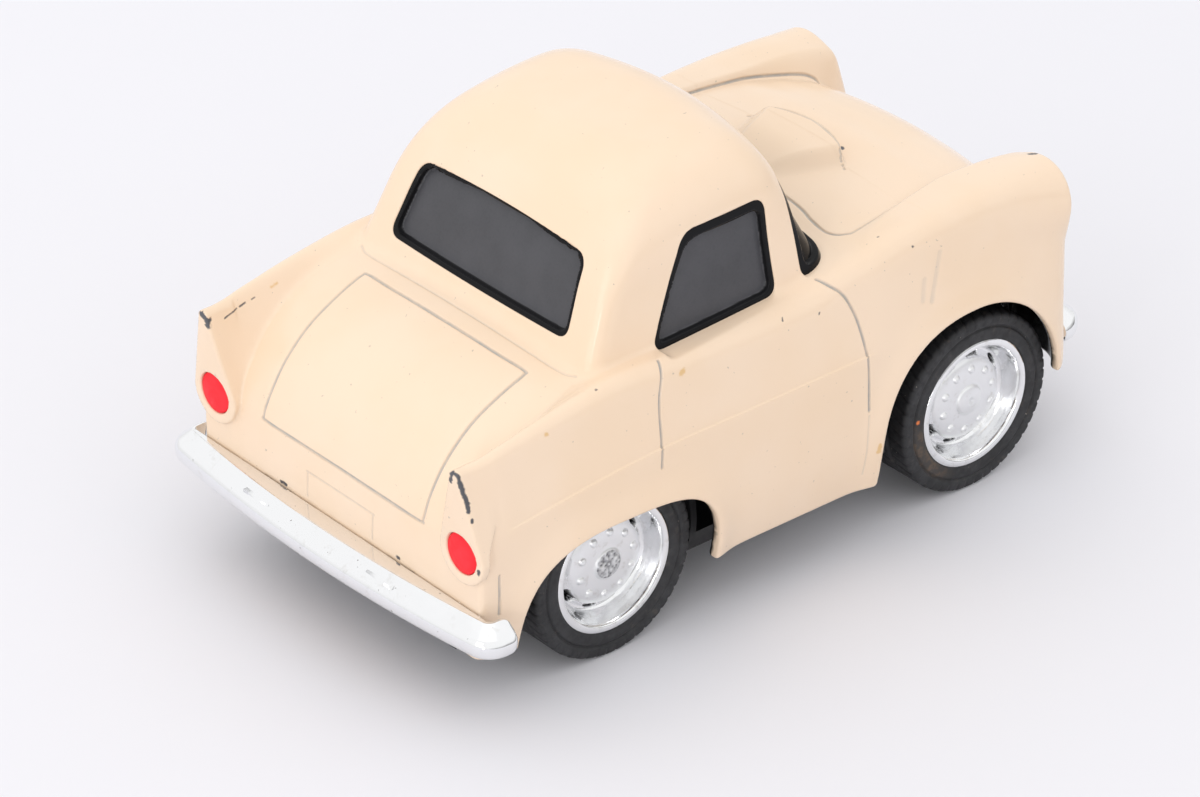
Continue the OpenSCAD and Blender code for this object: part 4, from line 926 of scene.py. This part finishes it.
def studio_world(strength):
    """Light from all round, lower near the floor and lowest on the dim side"""
    world = bpy.data.worlds.new("studio")
    world.use_nodes = True
    n = Nodes(world.node_tree)
    place = n.add("TexCoord", {}, "Generated")
    beside = n.add("VectorMath", {0: place, 1: DIM_SIDE}, "Value", operation="DOT_PRODUCT")
    low = n.add("MapRange", {"Value": beside, "From Min": DIM_FROM[0], "From Max": DIM_FROM[1],
                             "To Min": LOW_LIGHT, "To Max": DIM_LIGHT})
    height = n.add("SeparateXYZ", {0: place}, "Z")
    light = n.add("MapRange", {"Value": height, "From Min": LIGHT_RISES[0], "From Max": LIGHT_RISES[1],
                               "To Min": low, "To Max": 1.0})
    n.fill(n.tree.nodes["Background"], {"Color": light, "Strength": strength})
    return world


def camera_place(stage):
    """Where the camera stands and how it is turned"""
    turn, rise = stage.azimuth, stage.elevation
    back = Vector((math.sin(turn) * math.cos(rise), -math.cos(turn) * math.cos(rise), math.sin(rise)))
    level = Vector((math.cos(turn), math.sin(turn), 0))
    upright = back.cross(level)
    right = level * math.cos(stage.roll) + upright * math.sin(stage.roll)
    up = upright * math.cos(stage.roll) - level * math.sin(stage.roll)
    spot = back * stage.distance + right * CAMERA_RIGHT * MM + up * CAMERA_UP * MM
    spot = spot + Vector((CAMERA_ALONG * MM, 0, 0))
    return Matrix.Translation(spot) @ Matrix((right, up, back)).transposed().to_4x4()


# Shapes of the pieces
def on_casting(keys, step):
    """Points along a path, drawn onto the casting"""
    return drawn_on(casting_outside, smooth_path(keys, step), DRAW_ROUNDS, DRAW_MOST)[0]


def panel_samples():
    """Points along every panel line, with each one's width and depth shares"""
    made = []
    for keys, width, depth in PANEL_LINES:
        for side in SIDES.values():
            path = on_casting(np.array(keys, float) * (1, side, 1), LINE_STEP)
            made.append(np.column_stack([path, np.full(len(path), width), np.full(len(path), depth)]))
    return np.concatenate(made)


def nearest(samples, p, within):
    """Distance to the nearest sample and which it is; far points keep the limit"""
    tree = kdtree.KDTree(len(samples))
    for i, sample in enumerate(samples):
        tree.insert(sample[:3], i)
    tree.balance()
    away, which = np.full(len(p), within), np.zeros(len(p), int)
    low, high = samples[:, :3].min(0) - within, samples[:, :3].max(0) + within
    for i in np.flatnonzero(np.all((p > low) & (p < high), 1)):
        _, index, distance = tree.find(p[i])
        if distance < within:
            away[i], which[i] = distance, index
    return away, which


def body_mesh(body):
    """The casting, with its panel lines sunk in and its wear marked"""
    lines = panel_samples()
    chips, stains = ([(on_casting(keys, WEAR_STEP), half) for keys, half in marks]
                     for marks in (CHIPS, STAINS))
    detail = np.concatenate([lines[:, :3], *[path for path, _ in chips + stains]])

    def size_at(p):
        away, _ = nearest(detail, p, DETAIL_REACH)
        edge = np.abs(window_openings(p[:, 0], np.abs(p[:, 1]), p[:, 2]))
        return edge_size(np.minimum(away, edge + WINDOW_DETAIL), BODY_EDGES)

    p, tris, normals = field_mesh(body_field, BODY_GRID, size_at, mirrored=True)
    away, which = nearest(lines, p, LINE_REACH)
    sunk = in_chunks(casting_outside, p)
    outer = np.abs(sunk) < OUTER_SKIN
    half = body.line_width / MM * lines[which, 3] / 2
    line = np.exp(-(away / half) ** 4) * outer * lines[which, 4]
    ragged = value_noise(p, *RAG_FINE) * 0.5 + value_noise(p, *RAG_COARSE) * 0.5

    def worn(paths, soft):
        share = np.zeros(len(p))
        for path, reach in paths:
            gap, _ = nearest(path, p, WEAR_REACH)
            share = np.maximum(share, smoothstep(soft, -soft, gap - reach * (1 + RAG_SHARE * ragged)) * outer)
        return share

    chip, stain = worn(chips, CHIP_SOFT), worn(stains, STAIN_SOFT)
    # The inside share marks the inner faces that take painted shade
    inside = smoothstep(*INSIDE_SHADE_FROM, sunk)
    p = p - normals * (body.line_depth / MM * line + CHIP_DEPTH * chip)[:, None]
    return p, tris, {"line": line, "chip": chip, "stain": stain, "inside": inside}


def glazing_mesh():
    """The glazing moulding"""
    def size_at(p):
        return edge_size(np.min([np.abs(away) for away in panes(p).values()], 0), GLAZING_EDGES)

    p, tris, _ = field_mesh(glazing_field, GLAZING_GRID, size_at, mirrored=True)
    # Painted reflection: the rear and side panes are coloured for the bright room reflected in them; the
    # windscreen keeps the black
    grey = [smoothstep(*PANE_SOFT, away) for name, away in panes(p).items() if name != "front"]
    return p, tris, {"pane": np.max(grey, 0)}


def round_about(angle, count, phase):
    """Angle to the nearest of some evenly spaced marks"""
    pitch = 2 * math.pi / count
    return (angle - phase + pitch / 2) % pitch - pitch / 2


def wheel_mesh(front):
    """A wheel on its own axis, across, up and deep: turned, with domes, slots and a plain or grained hub"""
    coarse = 0
    face = smooth_path(RIM_FACE, WHEEL_STEP[coarse])
    rows = np.concatenate([face, RIM_BACK])
    columns = WHEEL_COLUMNS[coarse]
    angle = np.arange(columns) * 2 * math.pi / columns
    r, d = rows[:, :1] + 0 * angle, rows[:, 1:] + 0 * angle
    turn = round_about(angle, DOMES, DOME_PHASE)
    away = np.hypot(r * np.cos(turn) - DOME_RING, r * np.sin(turn)) / DOME_R
    d = d - DOME_RISE * np.sqrt(np.maximum(1 - away ** 2, 0))
    cut = round_about(angle, SLOTS, SLOT_PHASE) * r
    slot = smax(np.abs(r - SLOT_RING) - SLOT_HALF_R, np.abs(cut) - SLOT_HALF_ARC, SLOT_ROUND)
    d = d + (SLOT_FLOOR - d) * smoothstep(SLOT_SOFT, -SLOT_SOFT, slot)
    hub = smoothstep(HUB_R, HUB_R - HUB_SOFT, r)
    if front:
        d = d - HUB_DOME * np.maximum(1 - (r / HUB_R) ** 2, 0) + DIMPLE * smoothstep(DIMPLE_R, 0, r)
        hub = hub * 0
    across, up = r * np.cos(angle), r * np.sin(angle)
    flat = np.stack([across, up, 0 * up], -1).reshape(-1, 3)
    grain = value_noise(flat, HUB_GRAIN_SIZE, HUB_SEED).reshape(r.shape)
    d = d + HUB_GRAIN * grain * hub
    back = slice(len(face), None)
    d[back] = rows[back, 1:]
    hub[back] = 0
    points = np.stack([across, up, d], -1).reshape(-1, 3)
    # The deep share is painted shade: near black on the slot floors, which stand for open slots, and on the
    # hidden back faces
    # The grain share is painted shade: it is highest where the hub's grain is sunk deepest
    shares = {"satin": smoothstep(SATIN_R + SATIN_SOFT, SATIN_R - SATIN_SOFT, r),
              "deep": smoothstep(*DEEP_FROM, d) * (r < DEEP_R), "grain": hub * (0.5 + 0.5 * grain)}
    shares = {key: share.ravel() for key, share in shares.items()}
    return points, rings_to_quads(len(rows), columns, False), shares


def tyre_mesh():
    """A tyre on its own axis, with a ringed sidewall and shoulder blocks"""
    ring, turn = np.linspace(-2, 2, RING_ROWS), np.linspace(0, math.pi / 2, SHOULDER_ROWS)
    rows = [(RIM_R + r, d) for r, d in TYRE_BEAD]
    rows += [(r, 0) for r in np.arange(RIM_R + WALL_FROM, WALL_RING_R - RING_ROOM[0], WALL_STEP)]
    rows += [(WALL_RING_R + WALL_RING_HALF * t, WALL_RING_DEPTH * math.exp(-t * t)) for t in ring]
    rows += [(WALL_RING_R + RING_ROOM[1], 0.0)]
    rows += [(r, 0) for r in np.arange(WALL_RING_R + RING_ROOM[2], TYRE_R - TYRE_SHOULDER, OUTER_WALL_STEP)]
    rows += [(TYRE_R - TYRE_SHOULDER + TYRE_SHOULDER * math.sin(a), TYRE_SHOULDER * (1 - math.cos(a)))
             for a in turn]
    rows += [(TYRE_R, d) for d in np.arange(TYRE_SHOULDER + TREAD_FROM, TYRE_W / 2, TREAD_STEP)]
    half = np.array(rows)
    inner = [(TYRE_INNER_R, TYRE_W - TYRE_INNER[0]), (TYRE_INNER_R, TYRE_INNER[1])]
    half = np.concatenate([half, (half * (1, -1) + (0, TYRE_W))[::-1], inner])
    columns = TREAD_BLOCKS * BLOCK_COLUMNS
    angle = np.arange(columns) * 2 * math.pi / columns
    r, d = half[:, :1], half[:, 1:]
    lean = (d - TYRE_W / 2) * BLOCK_LEAN
    phase = np.abs(round_about(angle + lean, TREAD_BLOCKS, 0)) / (math.pi / TREAD_BLOCKS)
    gap = smoothstep(1 - BLOCK_GAP - BLOCK_SOFT[0], 1 - BLOCK_GAP + BLOCK_SOFT[1], phase)
    near_side = smoothstep(*BLOCK_ENDS, np.minimum(d, TYRE_W - d))
    over_wall = smoothstep(WALL_RING_R + BLOCK_FADE[0], TYRE_R - BLOCK_FADE[1], r)
    weight = over_wall * (BLOCK_LEAST + (1 - BLOCK_LEAST) * near_side)
    sunk = BLOCK_DEPTH * gap * weight
    for at in TREAD_GROOVES:
        groove = smoothstep(TREAD_GROOVE_HALF + TREAD_SOFT, TREAD_GROOVE_HALF - TREAD_SOFT, np.abs(d - at))
        sunk = np.maximum(sunk, TREAD_GROOVE_DEPTH * groove * (r > TYRE_R - TREAD_SOFT))
    side = np.clip((TYRE_R - r) / EDGE_RUN, 0, 1)
    radius = r - sunk * (1 - EDGE_IN * side)
    depth = d + sunk * EDGE_BACK * side * np.where(d < TYRE_W / 2, 1, -1) + 0 * angle
    points = np.stack([radius * np.cos(angle), radius * np.sin(angle), depth], -1).reshape(-1, 3)
    return points, rings_to_quads(len(half), columns, True)


def tyre_marks(points):
    """Shares of a paint fleck and of dust over a tyre's outer side"""
    u, v, d = points.T
    r, turn = np.hypot(u, v), np.arctan2(v, u) % (2 * math.pi)
    fleck = smoothstep(FLECK_R, FLECK_R - FLECK_SOFT, np.hypot(u - FLECK_AT[0], v - FLECK_AT[1]))
    arc = smoothstep(DUSTY_FROM - DUSTY_SOFT, DUSTY_FROM + DUSTY_SOFT, turn)
    arc = arc * smoothstep(DUSTY_TO + DUSTY_SOFT, DUSTY_TO - DUSTY_SOFT, turn)
    band = smoothstep(*DUSTY_INNER, r) * smoothstep(*DUSTY_OUTER, r)
    return {"fleck": fleck * (d < MARK_DEPTH), "dusty": arc * band * (d < MARK_DEPTH)}


def on_axle(points, end, side):
    """Points of a wheel's own frame, set on an axle's end"""
    u, v, d = points.T
    return np.stack([AXLE_X[end] + u, side * (TYRE_FACE - d), AXLE_Z + v], 1)


def bumper_path(end):
    """Middle line of a bumper from its middle to its left tip, with the way out and the taper there"""
    low, high = BUMPER_BOX[end]
    wrap_r = BUMPER_WRAP_R[end]
    long_r = BUMPER_BOW_R - wrap_r
    bow_end = math.asin((high[1] - BUMPER_HALF_T - wrap_r) / long_r)
    turns = np.concatenate([np.linspace(0, bow_end, BOW_STEPS)[:-1],
                            bow_end + BUMPER_WRAP * np.linspace(0, 1, WRAP_STEPS)])
    on_bow = np.minimum(turns, bow_end)
    face = high[0] if end == "front" else -low[0]
    at = np.stack([face - BUMPER_HALF_T - BUMPER_BOW_R + long_r * np.cos(on_bow) + wrap_r * np.cos(turns),
                   long_r * np.sin(on_bow) + wrap_r * np.sin(turns)], 1)
    out = np.stack([np.cos(turns), np.sin(turns)], 1)
    tip = np.linspace(0, 1, TIP_STEPS)[1:]
    back = np.array((-out[-1, 1], out[-1, 0])) * BUMPER_RETURN[end]
    at = np.concatenate([at, at[-1] + back * tip[:, None]])
    out = np.concatenate([out, np.repeat(out[-1:], len(tip), 0)])
    taper = np.concatenate([np.ones(len(turns)), np.sqrt(1 - (tip * TIP_TAPER) ** TIP_POWER)])
    return at, out, taper


def box_mesh(size, mid):
    """A plain box"""
    corners = np.array([(x, y, z) for x in (-0.5, 0.5) for y in (-0.5, 0.5) for z in (-0.5, 0.5)])
    sides = np.array(((0, 1, 3, 2), (4, 6, 7, 5), (0, 4, 5, 1), (2, 3, 7, 6), (0, 2, 6, 4), (1, 5, 7, 3)))
    return corners * size + mid, np.concatenate([sides[:, [0, 1, 2]], sides[:, [0, 2, 3]]])


def bumper_mesh(end):
    """A bowed bar with wrapped ends and two tabs"""
    low, high = BUMPER_BOX[end]
    at, out, taper = bumper_path(end)
    at = np.concatenate([(at * (1, -1))[:0:-1], at])
    out = np.concatenate([(out * (1, -1))[:0:-1], out])
    taper = np.concatenate([taper[:0:-1], taper])[:, None]
    outer = smooth_path(BUMPER_SECTION, SECTION_STEP)
    section = np.concatenate([outer, BUMPER_LIP]) * (BUMPER_HALF_T, (high[2] - low[2]) / 2)
    on_lip = np.arange(len(section)) > len(outer)
    reach = np.maximum(at[:, :1] - BUMPER_HALF_T + TAIL_X - LIP_GAP, 0) * (end == "rear")
    rings = np.empty((len(at), len(section), 3))
    rings[..., :2] = at[:, None] + out[:, None] * (section[:, 0] * taper - reach * on_lip)[..., None]
    rings[..., 2] = section[:, 1] * taper
    count, columns = rings.shape[:2]
    points = np.concatenate([rings.reshape(-1, 3), rings[[0, -1]].mean(1)])
    quads = rings_to_quads(count, columns, False)
    first = np.arange(columns)
    last = first + (count - 1) * columns
    tris = np.concatenate([quads[:, [0, 1, 2]], quads[:, [0, 2, 3]],
                           np.stack([np.roll(first, -1), first, np.full(columns, count * columns)], 1),
                           np.stack([last, np.roll(last, -1), np.full(columns, count * columns + 1)], 1)])
    tris = facing_out(points, tris)
    face = high[0] if end == "front" else -low[0]
    for side in (-1, 1):
        tab, sides = box_mesh(BUMPER_TAB, (face - BUMPER_HALF_T - BUMPER_TAB[0] / 2, side * SLOT_Y, 0))
        tris = np.concatenate([tris, sides + len(points)])
        points = np.concatenate([points, tab])
    if end == "rear":
        points = points * (-1, -1, 1)
    return points + (0, 0, (low[2] + high[2]) / 2), tris


def grille_field(p):
    """Oval grille: a frame, egg-crate bars and a back plate"""
    front, back = GRILLE_HIGH[0], GRILLE_LOW[0]
    edge = grille_outline(p) + GRILLE_GAP
    bars = [np.abs((at + pitch / 2) % pitch - pitch / 2) - GRILLE_BAR_HALF
            for at, pitch in zip((p[:, 1], p[:, 2] - GRILLE_MID[2]), GRILLE_PITCH)]
    lattice = np.maximum(np.min([*bars, -(edge + GRILLE_FRAME)], 0), p[:, 0] - front)
    plate = p[:, 0] - (back + GRILLE_PLATE)
    return smax(np.maximum(np.minimum(lattice, plate), back - p[:, 0]), edge, GRILLE_EDGE)


def grille_mesh():
    """The grille plug"""
    p, tris, _ = field_mesh(grille_field, GRILLE_GRID)
    # Painted shade: the grille darkens toward its back plate
    return p, tris, {"deep": smoothstep(*(GRILLE_LOW[0] + GRILLE_DEEP), p[:, 0])}


def turned_disc(profile, mid, facing, columns=96, ribs=0.0):
    """A disc turned about a line along the car: profile of (radius, height out)"""
    profile = np.array(profile, float)
    angle = np.arange(columns) * 2 * math.pi / columns
    r, h = profile[:, :1], profile[:, 1:]
    across, up = r * np.cos(angle), r * np.sin(angle)
    h = h + ribs * np.cos(2 * math.pi * across / RIB_PITCH) * (r < RIB_REACH * profile[:, 0].max())
    points = np.stack([mid[0] + facing * h, mid[1] + across, mid[2] + up], -1).reshape(-1, 3)
    return points, facing_out(points, rings_to_quads(len(profile), columns, False))


def lamp_profile(radius, foot, edge, bulge):
    """Closed profile of a lamp: back, edge and a softly domed face"""
    rim = [(radius * share, edge - below) for share, below in LAMP_RIM]
    steps = np.linspace(1, PIN_R, LAMP_ROWS)
    dome = [(radius * LAMP_FACE * q, edge + bulge * (1 - q ** LAMP_CURVE)) for q in steps]
    return [(PIN_R, foot), (radius, foot), *rim, *dome]


# Settings
def colour_setting(name, about, default):
    """A colour"""
    return FloatVectorProperty(name=name, description=about, subtype="COLOR", default=default, min=0, max=1)


def size_setting(name, about, default, low, high):
    """A length, in metres"""
    return FloatProperty(name=name, description=about, unit="LENGTH", default=default, min=low, max=high)


def angle_setting(name, about, degrees):
    """An angle"""
    return FloatProperty(name=name, description=about, subtype="ANGLE", default=math.radians(degrees))


def power_setting(name, about, watts):
    """The power of a lamp"""
    return FloatProperty(name=name, description=about, subtype="POWER", default=watts, min=0, max=200)


class CoupeBodySettings(bpy.types.PropertyGroup):
    """Paint and panel lines of the casting"""
    paint: colour_setting("Paint", "Colour of the enamel", (0.91, 0.715, 0.54))
    grime: colour_setting("Line grime", "Colour in the panel lines", (0.46, 0.45, 0.43))
    metal: colour_setting("Bare metal", "Colour where the enamel is chipped", (0.12, 0.12, 0.13))
    line_width: size_setting("Line width", "Width of a panel line", 0.32 * MM, 0.1 * MM, MM)
    line_depth: size_setting("Line depth", "Depth of a panel line", 0.22 * MM, 0.02 * MM, MM)


class CoupeGlazingSettings(bpy.types.PropertyGroup):
    """Colours of the glazing moulding"""
    frame: colour_setting("Frame", "Gloss border of a window", (0.008, 0.008, 0.009))
    # The pane colour is a painted reflection of the bright room in the dark glazing
    pane: colour_setting("Pane", "Matt pane of a window", (0.055, 0.055, 0.062))


class CoupeTrimSettings(bpy.types.PropertyGroup):
    """Colours of the plating and lamps"""
    plate: colour_setting("Plating", "Colour of the bright plating", (0.88, 0.885, 0.895))
    red: colour_setting("Tail lamp", "Colour of the tail lamps", (0.9, 0.018, 0.03))
    lens: colour_setting("Headlamp", "Colour of the headlamp lenses", (0.66, 0.68, 0.7))


class CoupeWheelSettings(bpy.types.PropertyGroup):
    """Colours of the tyres"""
    rubber: colour_setting("Rubber", "Colour of the tyres", (0.02, 0.02, 0.022))
    dust: colour_setting("Dust", "Colour of the dust on the tyres", (0.1, 0.08, 0.065))


class CoupeStageSettings(bpy.types.PropertyGroup):
    """Floor, light and camera"""
    floor: colour_setting("Floor", "Colour of the floor", (0.815, 0.81, 0.85))
    key: power_setting("Key light", "Power of the softbox behind the car", 0.9)
    top: power_setting("Top light", "Power of the overhead softbox", 1.2)
    strip: power_setting("Strip light", "Power of the tall strip beside the camera", 1.2)
    sky: FloatProperty(name="Room light", description="Strength of the light from all round",
                       default=1.04, min=0, max=5)
    azimuth: angle_setting("Azimuth", "Turn of the camera round the car", -40.81)
    elevation: angle_setting("Elevation", "Height angle of the camera", 31.08)
    roll: angle_setting("Roll", "Roll of the camera", 0.59)
    distance: size_setting("Distance", "Distance of the camera from the car's middle", 636.48 * MM, 0.1, 5)
    lens: FloatProperty(name="Lens", description="Focal length in millimetres",
                        default=180.2, min=20, max=400)


class CoupeSettings(bpy.types.PropertyGroup):
    """All settings of the toy coupe"""
    body: PointerProperty(type=CoupeBodySettings)
    glazing: PointerProperty(type=CoupeGlazingSettings)
    trim: PointerProperty(type=CoupeTrimSettings)
    wheels: PointerProperty(type=CoupeWheelSettings)
    stage: PointerProperty(type=CoupeStageSettings)


# Operators
class CoupeStep:
    """One step of the build, from the scene's settings"""

    def execute(self, context):
        self.build(context.scene.coupe)
        return {"FINISHED"}


class COUPE_OT_body(CoupeStep, bpy.types.Operator):
    """Build the painted casting with its panel lines and wear"""
    bl_idname = "coupe.body"
    bl_label = "Body casting"

    def build(self, coupe):
        p, tris, shares = body_mesh(coupe.body)
        shown("body_casting", p, tris, enamel(coupe.body), "car", ["body_shell"], shares)


class COUPE_OT_glazing(CoupeStep, bpy.types.Operator):
    """Build the black glazing moulding with its framed panes"""
    bl_idname = "coupe.glazing"
    bl_label = "Glazing"

    def build(self, coupe):
        p, tris, shares = glazing_mesh()
        finish = black_glazing(coupe.glazing)
        shown("glazing_moulding", p, tris, finish, "car", ["window_insert"], shares)


class COUPE_OT_bumpers(CoupeStep, bpy.types.Operator):
    """Build both plated bumpers"""
    bl_idname = "coupe.bumpers"
    bl_label = "Bumpers"

    def build(self, coupe):
        finish = bright_plate(coupe.trim)
        for end in ENDS:
            p, tris = bumper_mesh(end)
            shown(f"{end}_bumper_bar", p, tris, finish, "car", [f"{end}_bumper"])


class COUPE_OT_front_trim(CoupeStep, bpy.types.Operator):
    """Build the grille and the headlamps"""
    bl_idname = "coupe.front_trim"
    bl_label = "Grille and headlamps"

    def build(self, coupe):
        p, tris, shares = grille_mesh()
        shares["satin"] = shares["grain"] = np.zeros(len(p))
        shown("grille_plug", p, tris, wheel_plate(coupe.trim), "car", ["grille"], shares)
        finish = moulded("silver_lens", tuple(coupe.trim.lens), gloss=0.18, grain_mm=0.5, metal=0.75)
        profile = lamp_profile(HEADLAMP_R, HEADLAMP_LOW[0], HEADLAMP_HIGH[0] - LENS_DROP, LENS_BULGE)
        for name, side in SIDES.items():
            p, quads = turned_disc(profile, (0, side * HEADLAMP[1], HEADLAMP[2]), 1, ribs=LENS_RIBS)
            shown(f"headlamp_lens_{name}", p, quads, finish, "car", [f"headlamp_{name}"])


class COUPE_OT_tail_lamps(CoupeStep, bpy.types.Operator):
    """Build the red tail lamps"""
    bl_idname = "coupe.tail_lamps"
    bl_label = "Tail lamps"

    def build(self, coupe):
        finish = moulded("lamp_red", tuple(coupe.trim.red), gloss=0.5, grain_mm=0.6, shine=0.25)
        profile = lamp_profile(TAIL_LAMP_R, -TAIL_LAMP_HIGH[0], -TAIL_LAMP_LOW[0] - DISC_DROP, DISC_BULGE)
        for name, side in SIDES.items():
            p, quads = turned_disc(profile, (0, side * TAIL_LAMP[1], TAIL_LAMP[2]), -1)
            shown(f"tail_lamp_disc_{name}", p, quads, finish, "car", [f"tail_lamp_{name}"])


class COUPE_OT_wheels(CoupeStep, bpy.types.Operator):
    """Build the four plated wheels"""
    bl_idname = "coupe.wheels"
    bl_label = "Wheels"

    def build(self, coupe):
        finish = wheel_plate(coupe.trim)
        for end in ENDS:
            p, tris, shares = wheel_mesh(end == "front")
            for name, side in SIDES.items():
                placed = on_axle(p, end, side)
                shown(f"wheel_disc_{end}_{name}", placed, facing_out(placed, tris), finish, f"{end}_wheelset",
                      [f"wheel_{end}_{name}"], shares)


class COUPE_OT_tyres(CoupeStep, bpy.types.Operator):
    """Build the four rubber tyres"""
    bl_idname = "coupe.tyres"
    bl_label = "Tyres"

    def build(self, coupe):
        finish = rubber(coupe.wheels)
        p, quads = tyre_mesh()
        marks = tyre_marks(p)
        clean = {key: 0 * share for key, share in marks.items()}
        for end in ENDS:
            for name, side in SIDES.items():
                placed = on_axle(p, end, side)
                shown(f"tyre_ring_{end}_{name}", placed, facing_out(placed, quads), finish, f"{end}_wheelset",
                      [f"tyre_{end}_{name}"], marks if (end, name) == MARKED_TYRE else clean)


class COUPE_OT_mechanism(CoupeStep, bpy.types.Operator):
    """Finish the base, axles and pull-back motor that come straight from the CAD"""
    bl_idname = "coupe.mechanism"
    bl_label = "Base and motor finishes"

    def build(self, coupe):
        steel = ("chassis_screws", "front_axle", "rear_axle", "idler_pin", "spring_arbor_pin", "mainspring")
        gears = ("axle_pinion", "idler_gear", "spring_gear")
        for finish, nodes in (
                (moulded("base_plastic", (0.012, 0.012, 0.013), gloss=0.5), ("chassis",)),
                (moulded("drawn_steel", (0.42, 0.42, 0.43), gloss=0.3, grain_mm=0.6, metal=1.0), steel),
                (moulded("motor_plastic", (0.07, 0.075, 0.085), gloss=0.45), ("motor_case", "motor_cover")),
                (moulded("gear_plastic", (0.75, 0.74, 0.68), gloss=0.4), gears)):
            for node in nodes:
                mesh = frame["nodes"][node].data
                mesh.materials.clear()
                mesh.materials.append(finish)


class COUPE_OT_stage(CoupeStep, bpy.types.Operator):
    """Set the floor, the lights and the camera"""
    bl_idname = "coupe.stage"
    bl_label = "Stage"

    def build(self, coupe):
        scene, stage = bpy.context.scene, coupe.stage
        floor = bpy.data.meshes.new("floor")
        corners = [(x * FLOOR_REACH, y * FLOOR_REACH, 0) for x, y in ((-1, -1), (1, -1), (1, 1), (-1, 1))]
        floor.from_pydata(corners, [], [(0, 1, 2, 3)])
        floor.materials.append(studio_floor(stage))
        ground = bpy.data.objects.new("floor", floor)
        scene.collection.objects.link(ground)
        for name, (size, place) in SOFTBOXES.items():
            lamp = bpy.data.lights.new(name, "AREA")
            lamp.shape = "RECTANGLE"
            lamp.size, lamp.size_y = size
            lamp.energy = getattr(stage, name)
            box = bpy.data.objects.new(name, lamp)
            box.location = place
            box.rotation_euler = (-Vector(place)).to_track_quat("-Z", "Y").to_euler()
            scene.collection.objects.link(box)
        scene.world = studio_world(stage.sky)
        scene.view_settings.view_transform = "Standard"
        camera = bpy.data.cameras.new("camera")
        camera.lens, camera.sensor_width = stage.lens, SENSOR_MM
        camera.clip_start, camera.clip_end = CAMERA_CLIP
        viewer = bpy.data.objects.new("camera", camera)
        viewer.matrix_world = camera_place(stage)
        scene.collection.objects.link(viewer)
        scene.camera = viewer


class COUPE_PT_panel(bpy.types.Panel):
    """The coupe's steps and settings in the sidebar"""
    bl_idname = "COUPE_PT_panel"
    bl_label = "Toy coupe"
    bl_space_type = "VIEW_3D"
    bl_region_type = "UI"
    bl_category = "Toy coupe"

    def draw(self, context):
        for step in STEPS:
            self.layout.operator(step.bl_idname)
        for group in CoupeSettings.__annotations__:
            settings = getattr(context.scene.coupe, group)
            for key in settings.__annotations__:
                self.layout.prop(settings, key)


STEPS = (COUPE_OT_body, COUPE_OT_glazing, COUPE_OT_bumpers, COUPE_OT_front_trim, COUPE_OT_tail_lamps,
         COUPE_OT_wheels, COUPE_OT_tyres, COUPE_OT_mechanism, COUPE_OT_stage)
GROUPS = (CoupeBodySettings, CoupeGlazingSettings, CoupeTrimSettings, CoupeWheelSettings, CoupeStageSettings,
          CoupeSettings)


def register():
    for kind in (*GROUPS, *STEPS, COUPE_PT_panel):
        bpy.utils.register_class(kind)
    bpy.types.Scene.coupe = PointerProperty(type=CoupeSettings)


def unregister():
    del bpy.types.Scene.coupe
    for kind in reversed((*GROUPS, *STEPS, COUPE_PT_panel)):
        bpy.utils.unregister_class(kind)


def main():
    register()
    for step in STEPS:
        area, name = step.bl_idname.split(".")
        getattr(getattr(bpy.ops, area), name)()


if __name__ == "__main__":
    main()
